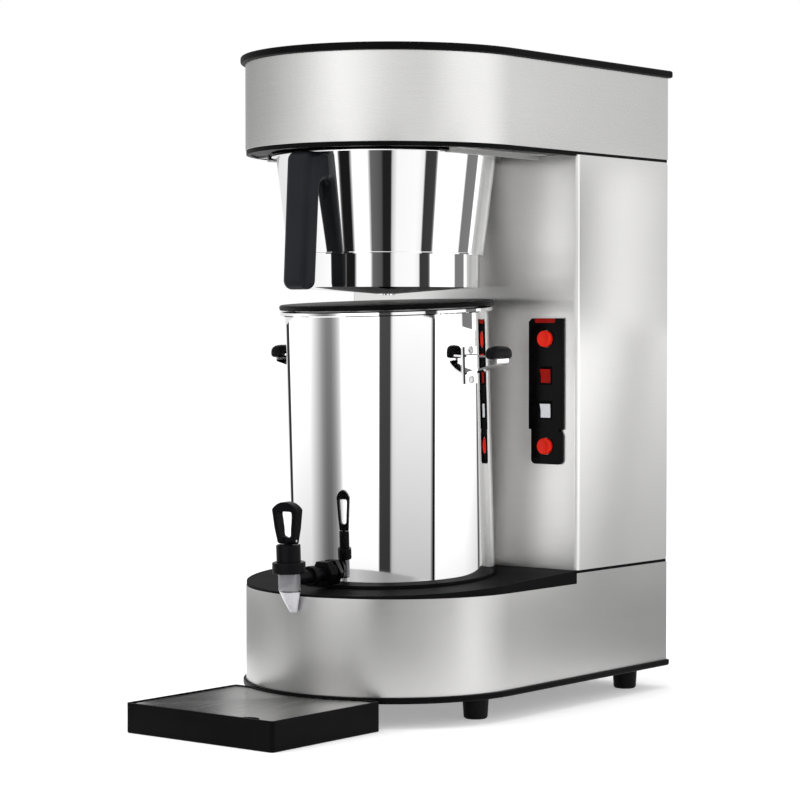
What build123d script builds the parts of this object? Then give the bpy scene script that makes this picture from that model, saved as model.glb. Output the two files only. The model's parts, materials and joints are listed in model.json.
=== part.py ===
from build123d import *

import os
from math import cos, radians, sin, sqrt, tan

# Filter coffee brewer for a counter: a steel housing with a hot water tank, a pull-out brew
# funnel under its head, an insulated urn with a tap on its deck, and a loose drip tray.
# Millimetres. +Z is up, the front faces -Y, and the counter is z = 0. The plan is drawn about
# the centre of the rounded nose, and the last step moves the model to the middle of its box.

# Housing in plan
nose_radius = 150.0
housing_depth = 290.5
column_setback = 117.0
sheet = 1.5
rear_bend = 4.0
column_bend = 5.0

# Housing in height
foot_height = 24.0
plinth_thickness = 6.0
base_height = 96.0
deck_lip = 2.0
deck_slope = 2.5
seam = 3.0
head_height = 88.0
cover_thickness = 7.3

# Plastic trims
plinth_overhang = 3.0
cover_overhang = 5.0
trim_inset = 0.8
moulding = 3.0
trim_round = 2.2
lip_depth = 8.0
lip_gap = 0.4

# Feet
foot_top_radius = 13.5
foot_bottom_radius = 12.0
foot_x = 116.0
foot_front_y = -12.0
foot_rear_inset = 32.5
foot_recess_radius = 6.0
foot_recess_depth = 12.0
screw_radius = 2.0
screw_gap = 0.15
screw_head_radius = 4.2
screw_head = 2.4

# Back of the column
panel_margin = 2.0
panel_flange = 14.0
louvre_length = 96.0
louvre_height = 5.0
louvre_pitch = 13.0
louvre_rows = 8
louvre_top_drop = 40.0
louvre_spread = 1.2
panel_screw_rows = 4

# Water and mains entries
inlet_x = -95.0
inlet_z = 190.0
inlet_thread_radius = 13.2
inlet_thread_length = 14.0
inlet_bore_radius = 8.5
inlet_hex = 32.0
inlet_nut = 4.0
inlet_flange_width = 3.0
inlet_neck = 18.0
valve_body = 28.0
valve_outlet_height = 10.0
coil_radius = 13.0
coil_height = 32.0
yoke_width = 30.0
yoke_thickness = 3.0
gland_x = 95.0
gland_z = 190.0
gland_radius = 10.0
gland_length = 18.0
gland_bore_radius = 4.5
gland_neck_radius = 8.0
gland_dome_round = 3.0
gland_nut_thickness = 5.0
gland_collar = 6.0
gland_hex = 24.0
wall_hole_gap = 0.3

# Hot water tank and what it carries
tank_width = 210.0
tank_depth = 112.0
tank_height = 236.0
tank_head_gap = 30.6
tank_set_back = 4.25
tank_wall = 1.2
tank_corner = 20.0
tank_flange = 8.0
lid_side_screw = 24.0
lid_end_screw = 60.0
tank_lid_thickness = 3.0
shelf_thickness = 2.0
shelf_flange = 25.0
shelf_set_back = 19.0
shelf_reach = 72.0
nipple_wall = 3.0
nipple_height = 12.0
element_radius = 4.0
element_pitch = 36.0
element_rise = 22.0
element_clearance = 25.0
probe_radius = 2.0
probe_x = 76.0
probe_pitch = 14.0
probe_short = 60.0
probe_long = 110.0
probe_head = 8.0
probe_terminal = 16.0
element_top_drop = 60.0
thermostat_x = -86.0
thermostat_radius = 12.0
thermostat_height = 9.0
tab_width = 6.0
tab_thickness = 0.8
pipe_radius = 6.0
pipe_wall = 1.0
pipe_bend = 18.0
pipe_rise = 80.0
fill_x = -70.0
spray_pipe_set_forward = 34.0

# Electrical parts at the foot of the column
plate_half_width = 60.0
plate_set_forward = 3.0
plate_top_gap = 5.4
plate_foot = 40.0
board_width = 96.0
board_height = 84.0
board_thickness = 1.6
standoff = 8.0
standoff_radius = 3.0
relay_size = 16.0
relay_count = 3
board_rise = 8.0
transformer_width = 38.0
transformer_depth = 22.0
transformer_height = 30.0
capacitor_radius = 5.0
capacitor_length = 18.0
terminal_width = 44.0
terminal_depth = 18.0
terminal_height = 16.0
terminal_gap = 8.0
terminal_pitch = 10.0
terminal_ways = 4

# Control fascia on the front of the column
fascia_left = 90.7
fascia_right = 133.2
fascia_bottom = 284.0
fascia_top = 399.0
fascia_foot_left = 93.8
fascia_notch = 3.6
fascia_foot_bottom = 248.0
fascia_thickness = 3.8
fascia_round = 5.0
fascia_chamfer = 3.5
control_x = 112.6
start_z = 377.8
rocker_red_z = 340.0
rocker_white_z = 304.0
stop_z = 266.7
button_radius = 8.5
button_proud = 4.5
button_travel = 2.5
button_gap = 0.4
stem_radius = 3.0
stem_gap = 0.08
stem_length = 13.0
rocker_width = 12.4
rocker_height = 14.4
rocker_tilt = 7.0
rocker_gap = 0.4
rocker_wall = 1.2
rocker_pin_radius = 1.2
pin_gap = 0.06
switch_depth = 20.0
switch_can_wall = 4.5
bezel_proud = 0.8
rocker_hollow = 12.0
button_dish_radius = 32.0
button_dish = 0.8

# Brew funnel and its rails
funnel_y = -10.0
funnel_side_gap = 33.0
funnel_flange_width = 5.0
funnel_flange = 2.0
funnel_taper = 11.7
funnel_lip = 0.8
collar_step = 4.8
funnel_wall = 1.2
funnel_cone_height = 100.0
collar_height = 32.7
funnel_dish = 6.0
outlet_radius = 9.0
outlet_drop = 1.2
pour_gap = 7.4
sump_gap = 0.1
rail_drop = 2.1
rail_thickness = 1.5
rail_lip_gap = 0.6
rail_running_gap = 0.2
rail_side_gap = 0.6
rail_front_y = -58.0
rail_rear_y = 92.0
rail_foot = 12.0
head_rim_drop = 1.5
head_rim_width = 5.0
stop_width = 24.0
stop_thickness = 2.0
stop_gap = 0.3

# Spray head
spray_radius = 58.0
spray_gap = 0.5
spray_height = 15.0
spray_flange = 7.0
spray_wall = 1.5
spray_hole_radius = 1.8
spray_clearance = 1.0
spray_bell_step = 8.0
spray_neck_wall = 2.0

# Filter screen in the funnel
screen_gap = 0.8
screen_thickness = 1.0
screen_slots = 20
screen_slot_width = 3.0
screen_inner = 30.0
screen_margin = 14.3
screen_post_radius = 3.0
screen_post = 8.0
screen_knob_radius = 7.0
screen_knob = 3.0

# Funnel handle
grip_width = 30.0
grip_thickness = 22.0
grip_stand_off = 16.5
grip_lean = 7.5
grip_length = 135.5
grip_drop = 2.2
grip_round = 7.0
grip_end_round = 9.0
arm_height = 28.0
arm_fillet = 9.0
tongue_width = 16.0
tongue_thickness = 4.0
tongue_drop = 12.0
tongue_reach = 20.0
handle_screw_inset = 5.0
handle_screw_pitch = 9.0
arm_inset = 8.0

# Urn
urn_gap = 4.0
urn_radius = 104.0
urn_height = 271.5
urn_wall = 1.0
urn_foot = 3.0
urn_foot_width = 6.0
rest_gap = 0.1
insulation = 15.0
liner_floor = 5.0
liner_wall = 0.8
bead_radius = 2.4
rim_flare = 5.0
lid_overhang = 1.0
lid_edge = 5.0
lid_gap = 0.4
lid_plug_depth = 12.0
lid_plug_gap = 1.5
lid_hole_radius = 8.0
lid_hole_chamfer = 1.5
gasket_width = 1.1
gasket_seat = 1.0
gasket_lift = 3.0
gasket_height = 4.0

# Urn side handles
side_grip_reach = 36.5
side_grip_length = 34.0
side_grip_depth = 14.0
side_grip_height = 12.5
side_grip_z = 224.0
side_grip_round = 4.5
bracket_width = 20.0
bracket_thickness = 2.0
bracket_drop = 19.0
bracket_foot = 9.0
bracket_return = 8.0
bracket_bend = 3.4
bracket_inset = 3.0
rivet_radius = 2.0

# Tap
tap_overhang = 11.0
shank_z = 12.0
shank_radius = 6.8
shank_bore = 4.0
shoulder_radius = 10.0
shoulder_width = 6.0
nut_size = 24.0
nut_thickness = 9.0
washer_thickness = 2.0
washer_radius = 11.0
barrel_radius = 11.0
barrel_wall = 2.4
spout_drop = 20.0
spout_set_back = 4.9
spout_tip_radius = 3.5
horn_share = 0.4
spout_tip_wall = 1.2
barrel_top_z = 19.0
seat_z = 3.0
seat_hole_radius = 4.5
collar_nut_radius = 16.4
collar_nut_height = 11.0
collar_nut_round = 1.2
bonnet_radius = 12.0
bonnet_height = 28.0
bonnet_roof = 4.0
bonnet_gap = 0.15
stem_lift = 3.0
tap_stem_radius = 2.6
cup_radius = 6.4
cup_height = 4.5
spring_room = 3.0
stem_flange_width = 2.2
stem_flange = 1.5
seat_gap = 0.05

# Tap lever
lever_hub_radius = 3.6
lever_hub_gap = 0.4
lever_height = 42.0
lever_top_width = 32.0
lever_foot_width = 23.0
lever_thickness = 10.0
lever_top_bar = 9.3
lever_side_bar = 5.4
lever_crown = 7.6
lever_hole_round = 3.2
lever_flare = 12.0
lever_post_width = 6.0
lever_post_gap = 0.3
lever_pin_radius = 1.2

# Drip tray
tray_reach = 143.5
tray_wrap = 14.0
tray_half_width = 94.0
tray_height = 29.0
tray_gap = 0.4
tray_wall = 2.5
tray_floor = 2.5
tray_corner = 4.0
tray_bottom_round = 1.2
ledge_width = 4.0
ledge_depth = 7.0
plate_gap = 0.35
plate_sheet = 1.2
plate_lip = 6.0
notch_x = 60.0
notch_width = 24.0
notch_depth = 12.0

# Places worked out from the sizes
foot_rear_y = housing_depth - foot_rear_inset
funnel_flange_radius = nose_radius - funnel_side_gap
funnel_mouth_radius = funnel_flange_radius - funnel_flange_width
funnel_step_radius = funnel_mouth_radius - funnel_taper
collar_radius = funnel_step_radius - collar_step
rim_radius = urn_radius + rim_flare
lid_radius = rim_radius + lid_overhang
liner_radius = urn_radius - insulation
urn_y = column_setback - urn_gap - lid_radius
tap_reach = nose_radius + urn_y + tap_overhang
tap_wall_y = tap_reach - urn_radius
grip_x = urn_radius + side_grip_reach
tray_front_y = -(nose_radius + tray_reach)
tray_rear_y = -(nose_radius - tray_wrap)
tank_y = (column_setback + housing_depth) / 2 + tank_set_back
plate_y = tank_y - plate_set_forward
spray_pipe_y = tank_y - spray_pipe_set_forward
grip_top_y = funnel_y - funnel_mouth_radius - grip_stand_off
tongue_end_y = funnel_y - funnel_mouth_radius - tongue_reach
plinth_z = foot_height
wrap_z = plinth_z + plinth_thickness
deck_edge_z = wrap_z + base_height


def deck_z(y):
    return deck_edge_z + deck_lip + (y + nose_radius) * tan(radians(deck_slope))


lid_z = urn_height + liner_wall + lid_gap
lid_middle_z = deck_z(urn_y) + (lid_z + lid_edge + urn_foot + rest_gap) * cos(radians(deck_slope))
outlet_z = lid_middle_z + pour_gap + outlet_drop
collar_z = outlet_z + funnel_dish
step_z = collar_z + collar_height
funnel_under = step_z + funnel_cone_height
funnel_top = funnel_under + funnel_flange
rail_web_x = funnel_flange_radius + rail_side_gap
rail_lip_z = funnel_under - rail_running_gap
column_z = deck_z(column_setback)
head_plate_z = funnel_top + rail_drop
head_z = head_plate_z + seam
cover_z = head_z + head_height
tank_top_z = head_plate_z - tank_head_gap
tank_bottom_z = tank_top_z - tank_height
tank_lid_z = tank_top_z + tank_lid_thickness
plate_height = tank_bottom_z - shelf_flange - plate_top_gap - column_z
board_z = column_z + plate_height / 2 + board_rise
bonnet_top_z = barrel_top_z + bonnet_height
pivot_z = bonnet_top_z + lever_hub_gap + lever_hub_radius
horn_z = -horn_share * spout_drop
horn_radius = barrel_radius + (spout_tip_radius - barrel_radius) * horn_share * 1.1
horn_set_back = spout_set_back * horn_share
far = 400.0
slack = 0.02


def slab(x0, x1, y0, y1, z0, z1):
    return Pos((x0 + x1) / 2, (y0 + y1) / 2, (z0 + z1) / 2) * Box(x1 - x0, y1 - y0, z1 - z0)


def rise(face, z0, z1):
    return extrude(Pos(0, 0, z0) * face, amount=z1 - z0, dir=(0, 0, 1))


def rod(radius, z0, z1, x=0.0, y=0.0):
    return Pos(x, y, (z0 + z1) / 2) * Cylinder(radius, z1 - z0)


def rod_y(radius, y0, y1, x=0.0, z=0.0):
    return Pos(x, (y0 + y1) / 2, z) * Rot(90, 0, 0) * Cylinder(radius, y1 - y0)


def rod_x(radius, x0, x1, y=0.0, z=0.0):
    return Pos((x0 + x1) / 2, y, z) * Rot(0, 90, 0) * Cylinder(radius, x1 - x0)


def turned(*points):
    return revolve(Plane.XZ * make_face(Polyline(*points, close=True)), Axis.Z)


def side_profile(face, half_width):
    # a face drawn as (y, z) becomes a solid that is centred on x = 0
    return extrude(Plane.YZ * face, amount=half_width, both=True)


def group(solids):
    return Compound([solid for item in solids for solid in item.solids()])


def plan(inset):
    # the housing seen from above: a half-round nose, straight sides and a square back
    radius = nose_radius - inset
    back = housing_depth - inset
    nose = ThreePointArc((-radius, 0), (0, -radius), (radius, 0))
    sides = Polyline((radius, 0), (radius, back), (-radius, back), (-radius, 0))
    face = make_face(nose + sides)
    return fillet(face.vertices().group_by(Axis.Y)[-1], max(rear_bend - inset, 0.5))


def plan_ring(inset, width, z0, z1):
    return rise(plan(inset), z0, z1) - rise(plan(inset + width), z0, z1)


def foot_places():
    return [(sx * foot_x, y) for sx in (-1, 1) for y in (foot_front_y, foot_rear_y)]


# Base


def plinth():
    body = rise(plan(-plinth_overhang), plinth_z, wrap_z)
    rims = body.edges().filter_by(GeomType.LINE).filter_by(Axis.Z)
    body = fillet((body.edges() - rims).group_by(Axis.Z)[0], trim_round)
    pocket = sheet + lip_gap + moulding
    body -= rise(plan(pocket), plinth_z + moulding, wrap_z)
    body += plan_ring(sheet + lip_gap, moulding, wrap_z, wrap_z + lip_depth)
    for x, y in foot_places():
        body += rod(2.4 * screw_radius, plinth_z + moulding, wrap_z + lip_depth, x, y)
        body -= rod(screw_radius + screw_gap, plinth_z, wrap_z + lip_depth, x, y)
    return body


def feet():
    bottom = foot_bottom_radius
    hole = screw_radius + screw_gap
    foot = turned(
        (foot_recess_radius, 0),
        (bottom - 1.5, 0),
        (bottom, 1.5),
        (foot_top_radius, foot_height),
        (hole, foot_height),
        (hole, foot_recess_depth),
        (foot_recess_radius, foot_recess_depth),
    )
    return group([Pos(x, y, 0) * foot for x, y in foot_places()])


def foot_screws():
    head = rod(screw_head_radius, foot_recess_depth - screw_head, foot_recess_depth)
    screw = head + rod(screw_radius, foot_recess_depth, wrap_z + lip_depth - 1.0)
    return group([Pos(x, y, 0) * screw for x, y in foot_places()])


def base_wrap():
    ring = plan_ring(0, sheet, wrap_z, column_z - seam)
    return ring - slab(-far, far, -far, column_setback, deck_edge_z, column_z)


def under_slope(drop, y_end):
    low = -nose_radius - 20.0
    points = ((low, 0), (y_end, 0), (y_end, deck_z(y_end) - drop), (low, deck_z(low) - drop))
    return side_profile(make_face(Polyline(*points, close=True)), far)


def deck_cover():
    # one moulding: a sloping deck in front, and a flat ledge that the column stands on
    deck = rise(plan(lip_gap), deck_edge_z, column_z) & under_slope(0, column_setback)
    inner = rise(plan(lip_gap + moulding), deck_edge_z, column_z)
    deck -= inner & under_slope(moulding, column_setback - moulding)
    ledge = rise(plan(trim_inset), column_z - seam, column_z)
    ledge -= slab(-far, far, -far, column_setback, 0, column_z)
    lip = plan_ring(sheet + lip_gap, moulding, deck_edge_z - lip_depth, deck_edge_z)
    lip -= slab(-far, far, column_setback - 2 * moulding, far, 0, column_z)
    return deck + ledge + lip


# Column


def column_plan(inset):
    half = nose_radius - inset
    front = column_setback + inset
    back = housing_depth - sheet - inset
    face = make_face(Polyline((-half, front), (half, front), (half, back), (-half, back), close=True))
    face = fillet(face.vertices().group_by(Axis.Y)[-1], max(rear_bend - inset, 0.5))
    return fillet(face.vertices().group_by(Axis.Y)[0], max(column_bend - inset, 0.5))


def rocker_room():
    # half the width and height that a tilted rocker needs
    tilt = radians(rocker_tilt)
    half_height = rocker_height / 2 * cos(tilt) + (fascia_thickness + 1.0) * sin(tilt)
    return rocker_width / 2 + rocker_gap, half_height + rocker_gap


def rocker_opening(z, gap):
    half_width, half_height = [size + gap for size in rocker_room()]
    y = column_setback
    x0 = control_x - half_width
    x1 = control_x + half_width
    return slab(x0, x1, y - 9, y + 9, z - half_height, z + half_height)


def column_shell():
    shell = rise(column_plan(0), column_z, head_plate_z) - rise(column_plan(sheet), column_z, head_plate_z)
    half = nose_radius - sheet - panel_flange
    low = column_z + panel_flange
    shell -= slab(-half, half, housing_depth - 3 * sheet, housing_depth, low, head_plate_z - panel_flange)
    for z in (start_z, stop_z):
        shell -= rod_y(stem_radius + stem_gap, column_setback - 1, column_setback + 5, control_x, z)
    for z in (rocker_red_z, rocker_white_z):
        shell -= rocker_opening(z, rocker_wall)
    return shell


def rear_panel():
    half = nose_radius - panel_margin
    y0 = housing_depth - sheet
    panel = slab(-half, half, y0, housing_depth, column_z + panel_margin, head_plate_z - panel_margin)
    slot = extrude(Plane.XZ * SlotOverall(louvre_length, louvre_height), amount=far, both=True)
    top = head_plate_z - louvre_top_drop
    for row in range(louvre_rows):
        for side in (-0.5, 0.5):
            panel -= Pos(side * louvre_spread * louvre_length, 0, top - row * louvre_pitch) * slot
    panel -= rod_y(inlet_thread_radius + wall_hole_gap, y0 - 1, housing_depth + 1, inlet_x, inlet_z)
    panel -= rod_y(gland_neck_radius + wall_hole_gap, y0 - 1, housing_depth + 1, gland_x, gland_z)
    for x, z in panel_screw_places():
        panel -= rod_y(screw_radius + screw_gap, y0 - 1, housing_depth + 1, x, z)
    return panel


def panel_screw_places():
    x = nose_radius - panel_flange / 2 - sheet
    low = column_z + panel_flange
    high = head_plate_z - panel_flange
    step = (high - low) / (panel_screw_rows - 1)
    return [(sx * x, low + step * k) for sx in (-1, 1) for k in range(panel_screw_rows)]


def rear_panel_screws():
    screws = []
    for x, z in panel_screw_places():
        head = rod_y(screw_head_radius, housing_depth, housing_depth + screw_head, x, z)
        head = fillet(head.edges().group_by(Axis.Y)[-1], 0.8)
        screws.append(head + rod_y(screw_radius, housing_depth - sheet, housing_depth, x, z))
    return group(screws)


# Head


def head_plate():
    plate = rise(plan(trim_inset), head_plate_z, head_z)
    rim = plan_ring(trim_inset, head_rim_width, head_plate_z - head_rim_drop, head_plate_z)
    rim -= slab(-far, far, column_setback - 1.0, far, 0, head_z)
    plate += rim
    plate -= rod(spray_radius + spray_wall + spray_gap, head_plate_z, head_z, 0, funnel_y)
    half_x = tank_width / 2 - 10.0
    half_y = tank_depth / 2 - 8.0
    plate -= slab(-half_x, half_x, tank_y - half_y, tank_y + half_y, head_plate_z, head_z)
    stop_y = funnel_y + funnel_flange_radius + stop_gap
    half = stop_width / 2
    plate += slab(-half, half, stop_y, stop_y + stop_thickness, funnel_under, head_plate_z)
    return plate


def head_wrap():
    return plan_ring(0, sheet, head_z, cover_z)


def top_cover():
    body = rise(plan(-cover_overhang), cover_z, cover_z + cover_thickness)
    flat = body.edges().filter_by(GeomType.LINE).filter_by(Axis.Z)
    outline = body.edges() - flat
    body = fillet(outline, trim_round)
    pocket = sheet + lip_gap + moulding
    body -= rise(plan(pocket), cover_z, cover_z + cover_thickness - moulding)
    return body + plan_ring(sheet + lip_gap, moulding, cover_z - lip_depth, cover_z)


def funnel_rails():
    inner = funnel_mouth_radius + rail_lip_gap
    outer = rail_web_x + rail_thickness
    foot = outer + rail_foot
    points = (
        (inner, rail_lip_z - rail_thickness),
        (outer, rail_lip_z - rail_thickness),
        (outer, head_plate_z - rail_thickness),
        (foot, head_plate_z - rail_thickness),
        (foot, head_plate_z),
        (rail_web_x, head_plate_z),
        (rail_web_x, rail_lip_z),
        (inner, rail_lip_z),
    )
    section = Plane.XZ * make_face(Polyline(*points, close=True))
    rail = Pos(0, rail_front_y, 0) * extrude(section, amount=rail_rear_y - rail_front_y, dir=(0, 1, 0))
    return group([rail, mirror(rail, Plane.YZ)])


def spray_head():
    bottom = funnel_top + spray_clearance
    top = bottom + spray_height
    outer = spray_radius + spray_wall
    bell = outer - spray_bell_step
    neck = pipe_radius + spray_neck_wall
    head = turned(
        (0, bottom),
        (outer, bottom),
        (outer, head_z),
        (outer + spray_flange, head_z),
        (outer + spray_flange, head_z + spray_wall),
        (outer, head_z + spray_wall),
        (bell, top),
        (neck, top),
        (neck, top + pipe_radius),
        (pipe_radius, top + pipe_radius),
        (pipe_radius, top - spray_wall),
        (bell - spray_wall, top - spray_wall),
        (spray_radius, head_z),
        (spray_radius, bottom + spray_wall),
        (0, bottom + spray_wall),
    )
    for ring, count in ((0.0, 1), (18.0, 6), (38.0, 12)):
        for place in PolarLocations(ring, count):
            head -= place * rod(spray_hole_radius, bottom - 1, bottom + spray_wall + 1)
    return Pos(0, funnel_y, 0) * head


# Hot water tank


def tank_plan(inset):
    face = RectangleRounded(tank_width - 2 * inset, tank_depth - 2 * inset, tank_corner - inset)
    return Pos(0, tank_y) * face


def tank_shelf():
    half = nose_radius - sheet
    top = tank_bottom_z
    y0 = column_setback + shelf_set_back
    y1 = tank_y + shelf_reach
    shelf = slab(-half, half, y0, y1, top - shelf_thickness, top)
    for side in (-1, 1):
        edges = sorted((side * half, side * (half - shelf_thickness)))
        shelf += slab(*edges, y0, y1, top - shelf_flange, top)
    return shelf - rod(pipe_radius + nipple_wall, top - shelf_flange, top + 1, fill_x, tank_y)


def water_tank():
    tank = rise(tank_plan(0), tank_bottom_z, tank_top_z)
    tank -= rise(tank_plan(tank_wall), tank_bottom_z + tank_wall, tank_top_z)
    tank += rise(tank_plan(-tank_flange), tank_top_z - 2 * tank_wall, tank_top_z)
    tank -= rise(tank_plan(tank_wall), tank_top_z - 2 * tank_wall, tank_top_z)
    low = tank_bottom_z - nipple_height
    tank += rod(pipe_radius + nipple_wall - 1.0, low, tank_bottom_z, fill_x, tank_y)
    return tank - rod(pipe_radius, low, tank_bottom_z + 5, fill_x, tank_y)


def lid_screw_places():
    x = tank_width / 2 + tank_flange / 2
    y = tank_depth / 2 + tank_flange / 2
    signs = [(sx, sy) for sx in (-1, 1) for sy in (-1, 1)]
    sides = [(sx * x, tank_y + sy * lid_side_screw) for sx, sy in signs]
    ends = [(sx * lid_end_screw, tank_y + sy * y) for sy, sx in signs]
    return sides + ends


def tank_lid():
    lid = rise(tank_plan(-tank_flange), tank_top_z, tank_lid_z)
    for x in element_legs():
        lid -= rod(element_radius + screw_gap, tank_top_z, tank_lid_z, x, tank_y)
    for x in (probe_x - probe_pitch / 2, probe_x + probe_pitch / 2):
        lid -= rod(probe_radius + 2.0, tank_top_z, tank_lid_z, x, tank_y)
    lid -= rod(pipe_radius + screw_gap, tank_top_z, tank_lid_z, 0, spray_pipe_y)
    for x, y in lid_screw_places():
        lid -= rod(screw_radius + screw_gap, tank_top_z, tank_lid_z, x, y)
    return lid


def tank_lid_screws():
    head = rod(screw_head_radius, tank_lid_z, tank_lid_z + screw_head)
    screw = head + rod(screw_radius, tank_top_z, tank_lid_z)
    return group([Pos(x, y, 0) * screw for x, y in lid_screw_places()])


def element_legs():
    return (-1.5 * element_pitch, 1.5 * element_pitch)


def heating_element():
    # a tube bent like a W, with both ends up through the lid
    low = tank_bottom_z + element_clearance
    high = tank_top_z - element_top_drop
    top = tank_lid_z + element_rise
    x = [(k - 1.5) * element_pitch for k in range(4)]
    levels = (top, low, low, high, high, low, low, top)
    route = [(x[k // 2], level) for k, level in enumerate(levels)]
    path = FilletPolyline(*[(px, tank_y, pz) for px, pz in route], radius=element_pitch * 0.45)
    return sweep(Plane(path @ 0, z_dir=path % 0) * Circle(element_radius), path)


def level_probe():
    parts = []
    half = probe_pitch / 2
    for x, length in ((probe_x - half, probe_short), (probe_x + half, probe_long)):
        pin = rod(probe_radius, tank_top_z - length, tank_lid_z + probe_terminal, x, tank_y)
        sleeve = rod(probe_radius + 1.9, tank_top_z - 4.0, tank_lid_z, x, tank_y)
        head = rod(probe_radius + 4.0, tank_lid_z, tank_lid_z + probe_head, x, tank_y)
        parts.append(pin + sleeve + head)
    return group(parts)


def dry_boil_thermostat():
    top = tank_lid_z + thermostat_height
    base = rod(thermostat_radius, tank_lid_z, top, thermostat_x, tank_y)
    base = fillet(base.edges().group_by(Axis.Z)[-1], 1.5)
    for side in (-0.5, 0.5):
        x = thermostat_x + side * thermostat_radius
        y0 = tank_y - tab_width / 2
        half = tab_thickness / 2
        base += slab(x - half, x + half, y0, y0 + tab_width, top - 1, top + 1.5 * tab_width)
    return base


def tube(path, radius, wall):
    start = Plane(path @ 0, z_dir=path % 0)
    return sweep(start * (Circle(radius) - Circle(radius - wall)), path)


def spray_pipe():
    top = tank_lid_z + pipe_rise
    low = funnel_top + spray_clearance + spray_height
    points = ((0, spray_pipe_y, tank_top_z - 10.0), (0, spray_pipe_y, top), (0, funnel_y, top),
              (0, funnel_y, low))
    return tube(FilletPolyline(*points, radius=pipe_bend), pipe_radius - slack, pipe_wall)


# Water inlet, mains entry and electrical parts


def hexagon(across):
    return RegularPolygon(across / sqrt(3), 6)


def inlet_valve():
    y0 = housing_depth - sheet
    end = housing_depth + inlet_thread_length
    body = rod_y(inlet_thread_radius, y0 - inlet_neck, end, inlet_x, inlet_z)
    nut = extrude(hexagon(inlet_hex), amount=inlet_nut)
    body += Pos(inlet_x, housing_depth + inlet_nut, inlet_z) * Rot(90, 0, 0) * nut
    body += rod_y(inlet_thread_radius + inlet_flange_width, y0 - inlet_nut, y0, inlet_x, inlet_z)
    body -= rod_y(inlet_bore_radius, y0 - inlet_neck + 4.0, end, inlet_x, inlet_z)
    half = valve_body / 2
    body += Pos(inlet_x, valve_y(), inlet_z) * Box(valve_body, valve_body, valve_body)
    top = valve_outlet_z()
    body += rod(pipe_radius + nipple_wall, inlet_z + half, top, inlet_x, valve_y())
    return body - rod(pipe_radius, inlet_z + half - 2.0, top, inlet_x, valve_y())


def valve_y():
    return housing_depth - sheet - inlet_neck - valve_body / 2


def valve_outlet_z():
    return inlet_z + valve_body / 2 + valve_outlet_height


def valve_coil():
    top = inlet_z - valve_body / 2
    low = top - coil_height
    coil = rod(coil_radius, low, top, inlet_x, valve_y())
    return coil + Pos(inlet_x, valve_y(), low - 0.5) * Box(yoke_width, yoke_width, yoke_thickness)


def fill_pipe():
    low = valve_outlet_z()
    high = tank_bottom_z - nipple_height
    mid = (low + high) / 2
    start = (inlet_x, valve_y())
    end = (fill_x, tank_y)
    points = ((*start, low), (*start, mid), (*end, mid), (*end, high))
    bend = min(pipe_bend, 0.9 * (mid - low))
    return tube(FilletPolyline(*points, radius=bend), pipe_radius + 1.0, pipe_wall)


def cable_gland():
    y0 = housing_depth - sheet
    end = housing_depth + gland_length
    body = rod_y(gland_neck_radius, y0 - gland_nut_thickness - 3.0, housing_depth, gland_x, gland_z)
    dome = rod_y(gland_radius, housing_depth, end, gland_x, gland_z)
    body += fillet(dome.edges().group_by(Axis.Y)[-1], gland_dome_round)
    for y1, thickness in ((housing_depth + gland_collar, gland_collar), (y0, gland_nut_thickness)):
        body += Pos(gland_x, y1, gland_z) * Rot(90, 0, 0) * extrude(hexagon(gland_hex), amount=thickness)
    return body - rod_y(gland_bore_radius, y0 - far, end + 1, gland_x, gland_z)


def electronics_plate():
    z0 = column_z
    half = plate_half_width
    plate = slab(-half, half, plate_y, plate_y + sheet, z0, z0 + plate_height)
    plate += slab(-half, half, plate_y, plate_y + plate_foot, z0, z0 + sheet)
    for x, z in standoff_places():
        plate += rod_y(standoff_radius, plate_y - standoff, plate_y, x, z)
    return plate


def standoff_places():
    x = board_width / 2 - 2 * standoff_radius
    z = board_height / 2 - 2 * standoff_radius
    return [(sx * x, board_z + sz * z) for sx in (-1, 1) for sz in (-1, 1)]


def control_board():
    # relays above, a transformer and two capacitors below
    y1 = plate_y - standoff
    y0 = y1 - board_thickness
    low = board_z - board_height / 2
    board = slab(-board_width / 2, board_width / 2, y0, y1, low, low + board_height)
    half = relay_size / 2
    for k in range(relay_count):
        x = (k - (relay_count - 1) / 2) * 1.6 * relay_size
        board += slab(x - half, x + half, y0 - relay_size, y0, board_z + half, board_z + half + relay_size)
    low += half
    left = -board_width / 2 + half + 6.0
    board += slab(left, left + transformer_width, y0 - transformer_depth, y0, low, low + transformer_height)
    for k in (1, 2):
        x = left + transformer_width + 2.4 * k * capacitor_radius
        board += rod_y(capacitor_radius, y0 - capacitor_length, y0, x, low + transformer_height / 2)
    return board


def terminal_block():
    y0 = plate_y + sheet + terminal_gap
    z0 = column_z + sheet
    half = terminal_width / 2
    block = slab(-half, half, y0, y0 + terminal_depth, z0, z0 + terminal_height)
    for k in range(terminal_ways):
        x = (k - (terminal_ways - 1) / 2) * terminal_pitch
        block -= rod(0.3 * terminal_pitch, z0 + 6.0, z0 + terminal_height + 1, x, y0 + terminal_depth / 2)
    return block


# Control fascia, buttons and rockers


def fascia_plan():
    points = (
        (fascia_left + fascia_chamfer, fascia_top),
        (fascia_right, fascia_top),
        (fascia_right, fascia_bottom),
        (fascia_right - fascia_notch, fascia_bottom),
        (fascia_right - 0.6, fascia_bottom - 1.6 * fascia_notch),
        (fascia_right - 0.6, fascia_foot_bottom),
        (fascia_foot_left, fascia_foot_bottom),
        (fascia_foot_left, fascia_bottom),
        (fascia_left, fascia_bottom),
        (fascia_left, fascia_top - fascia_chamfer),
    )
    face = make_face(Polyline(*points, close=True))
    return fillet(face.vertices().group_by(Axis.Y)[0], fascia_round)


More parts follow.
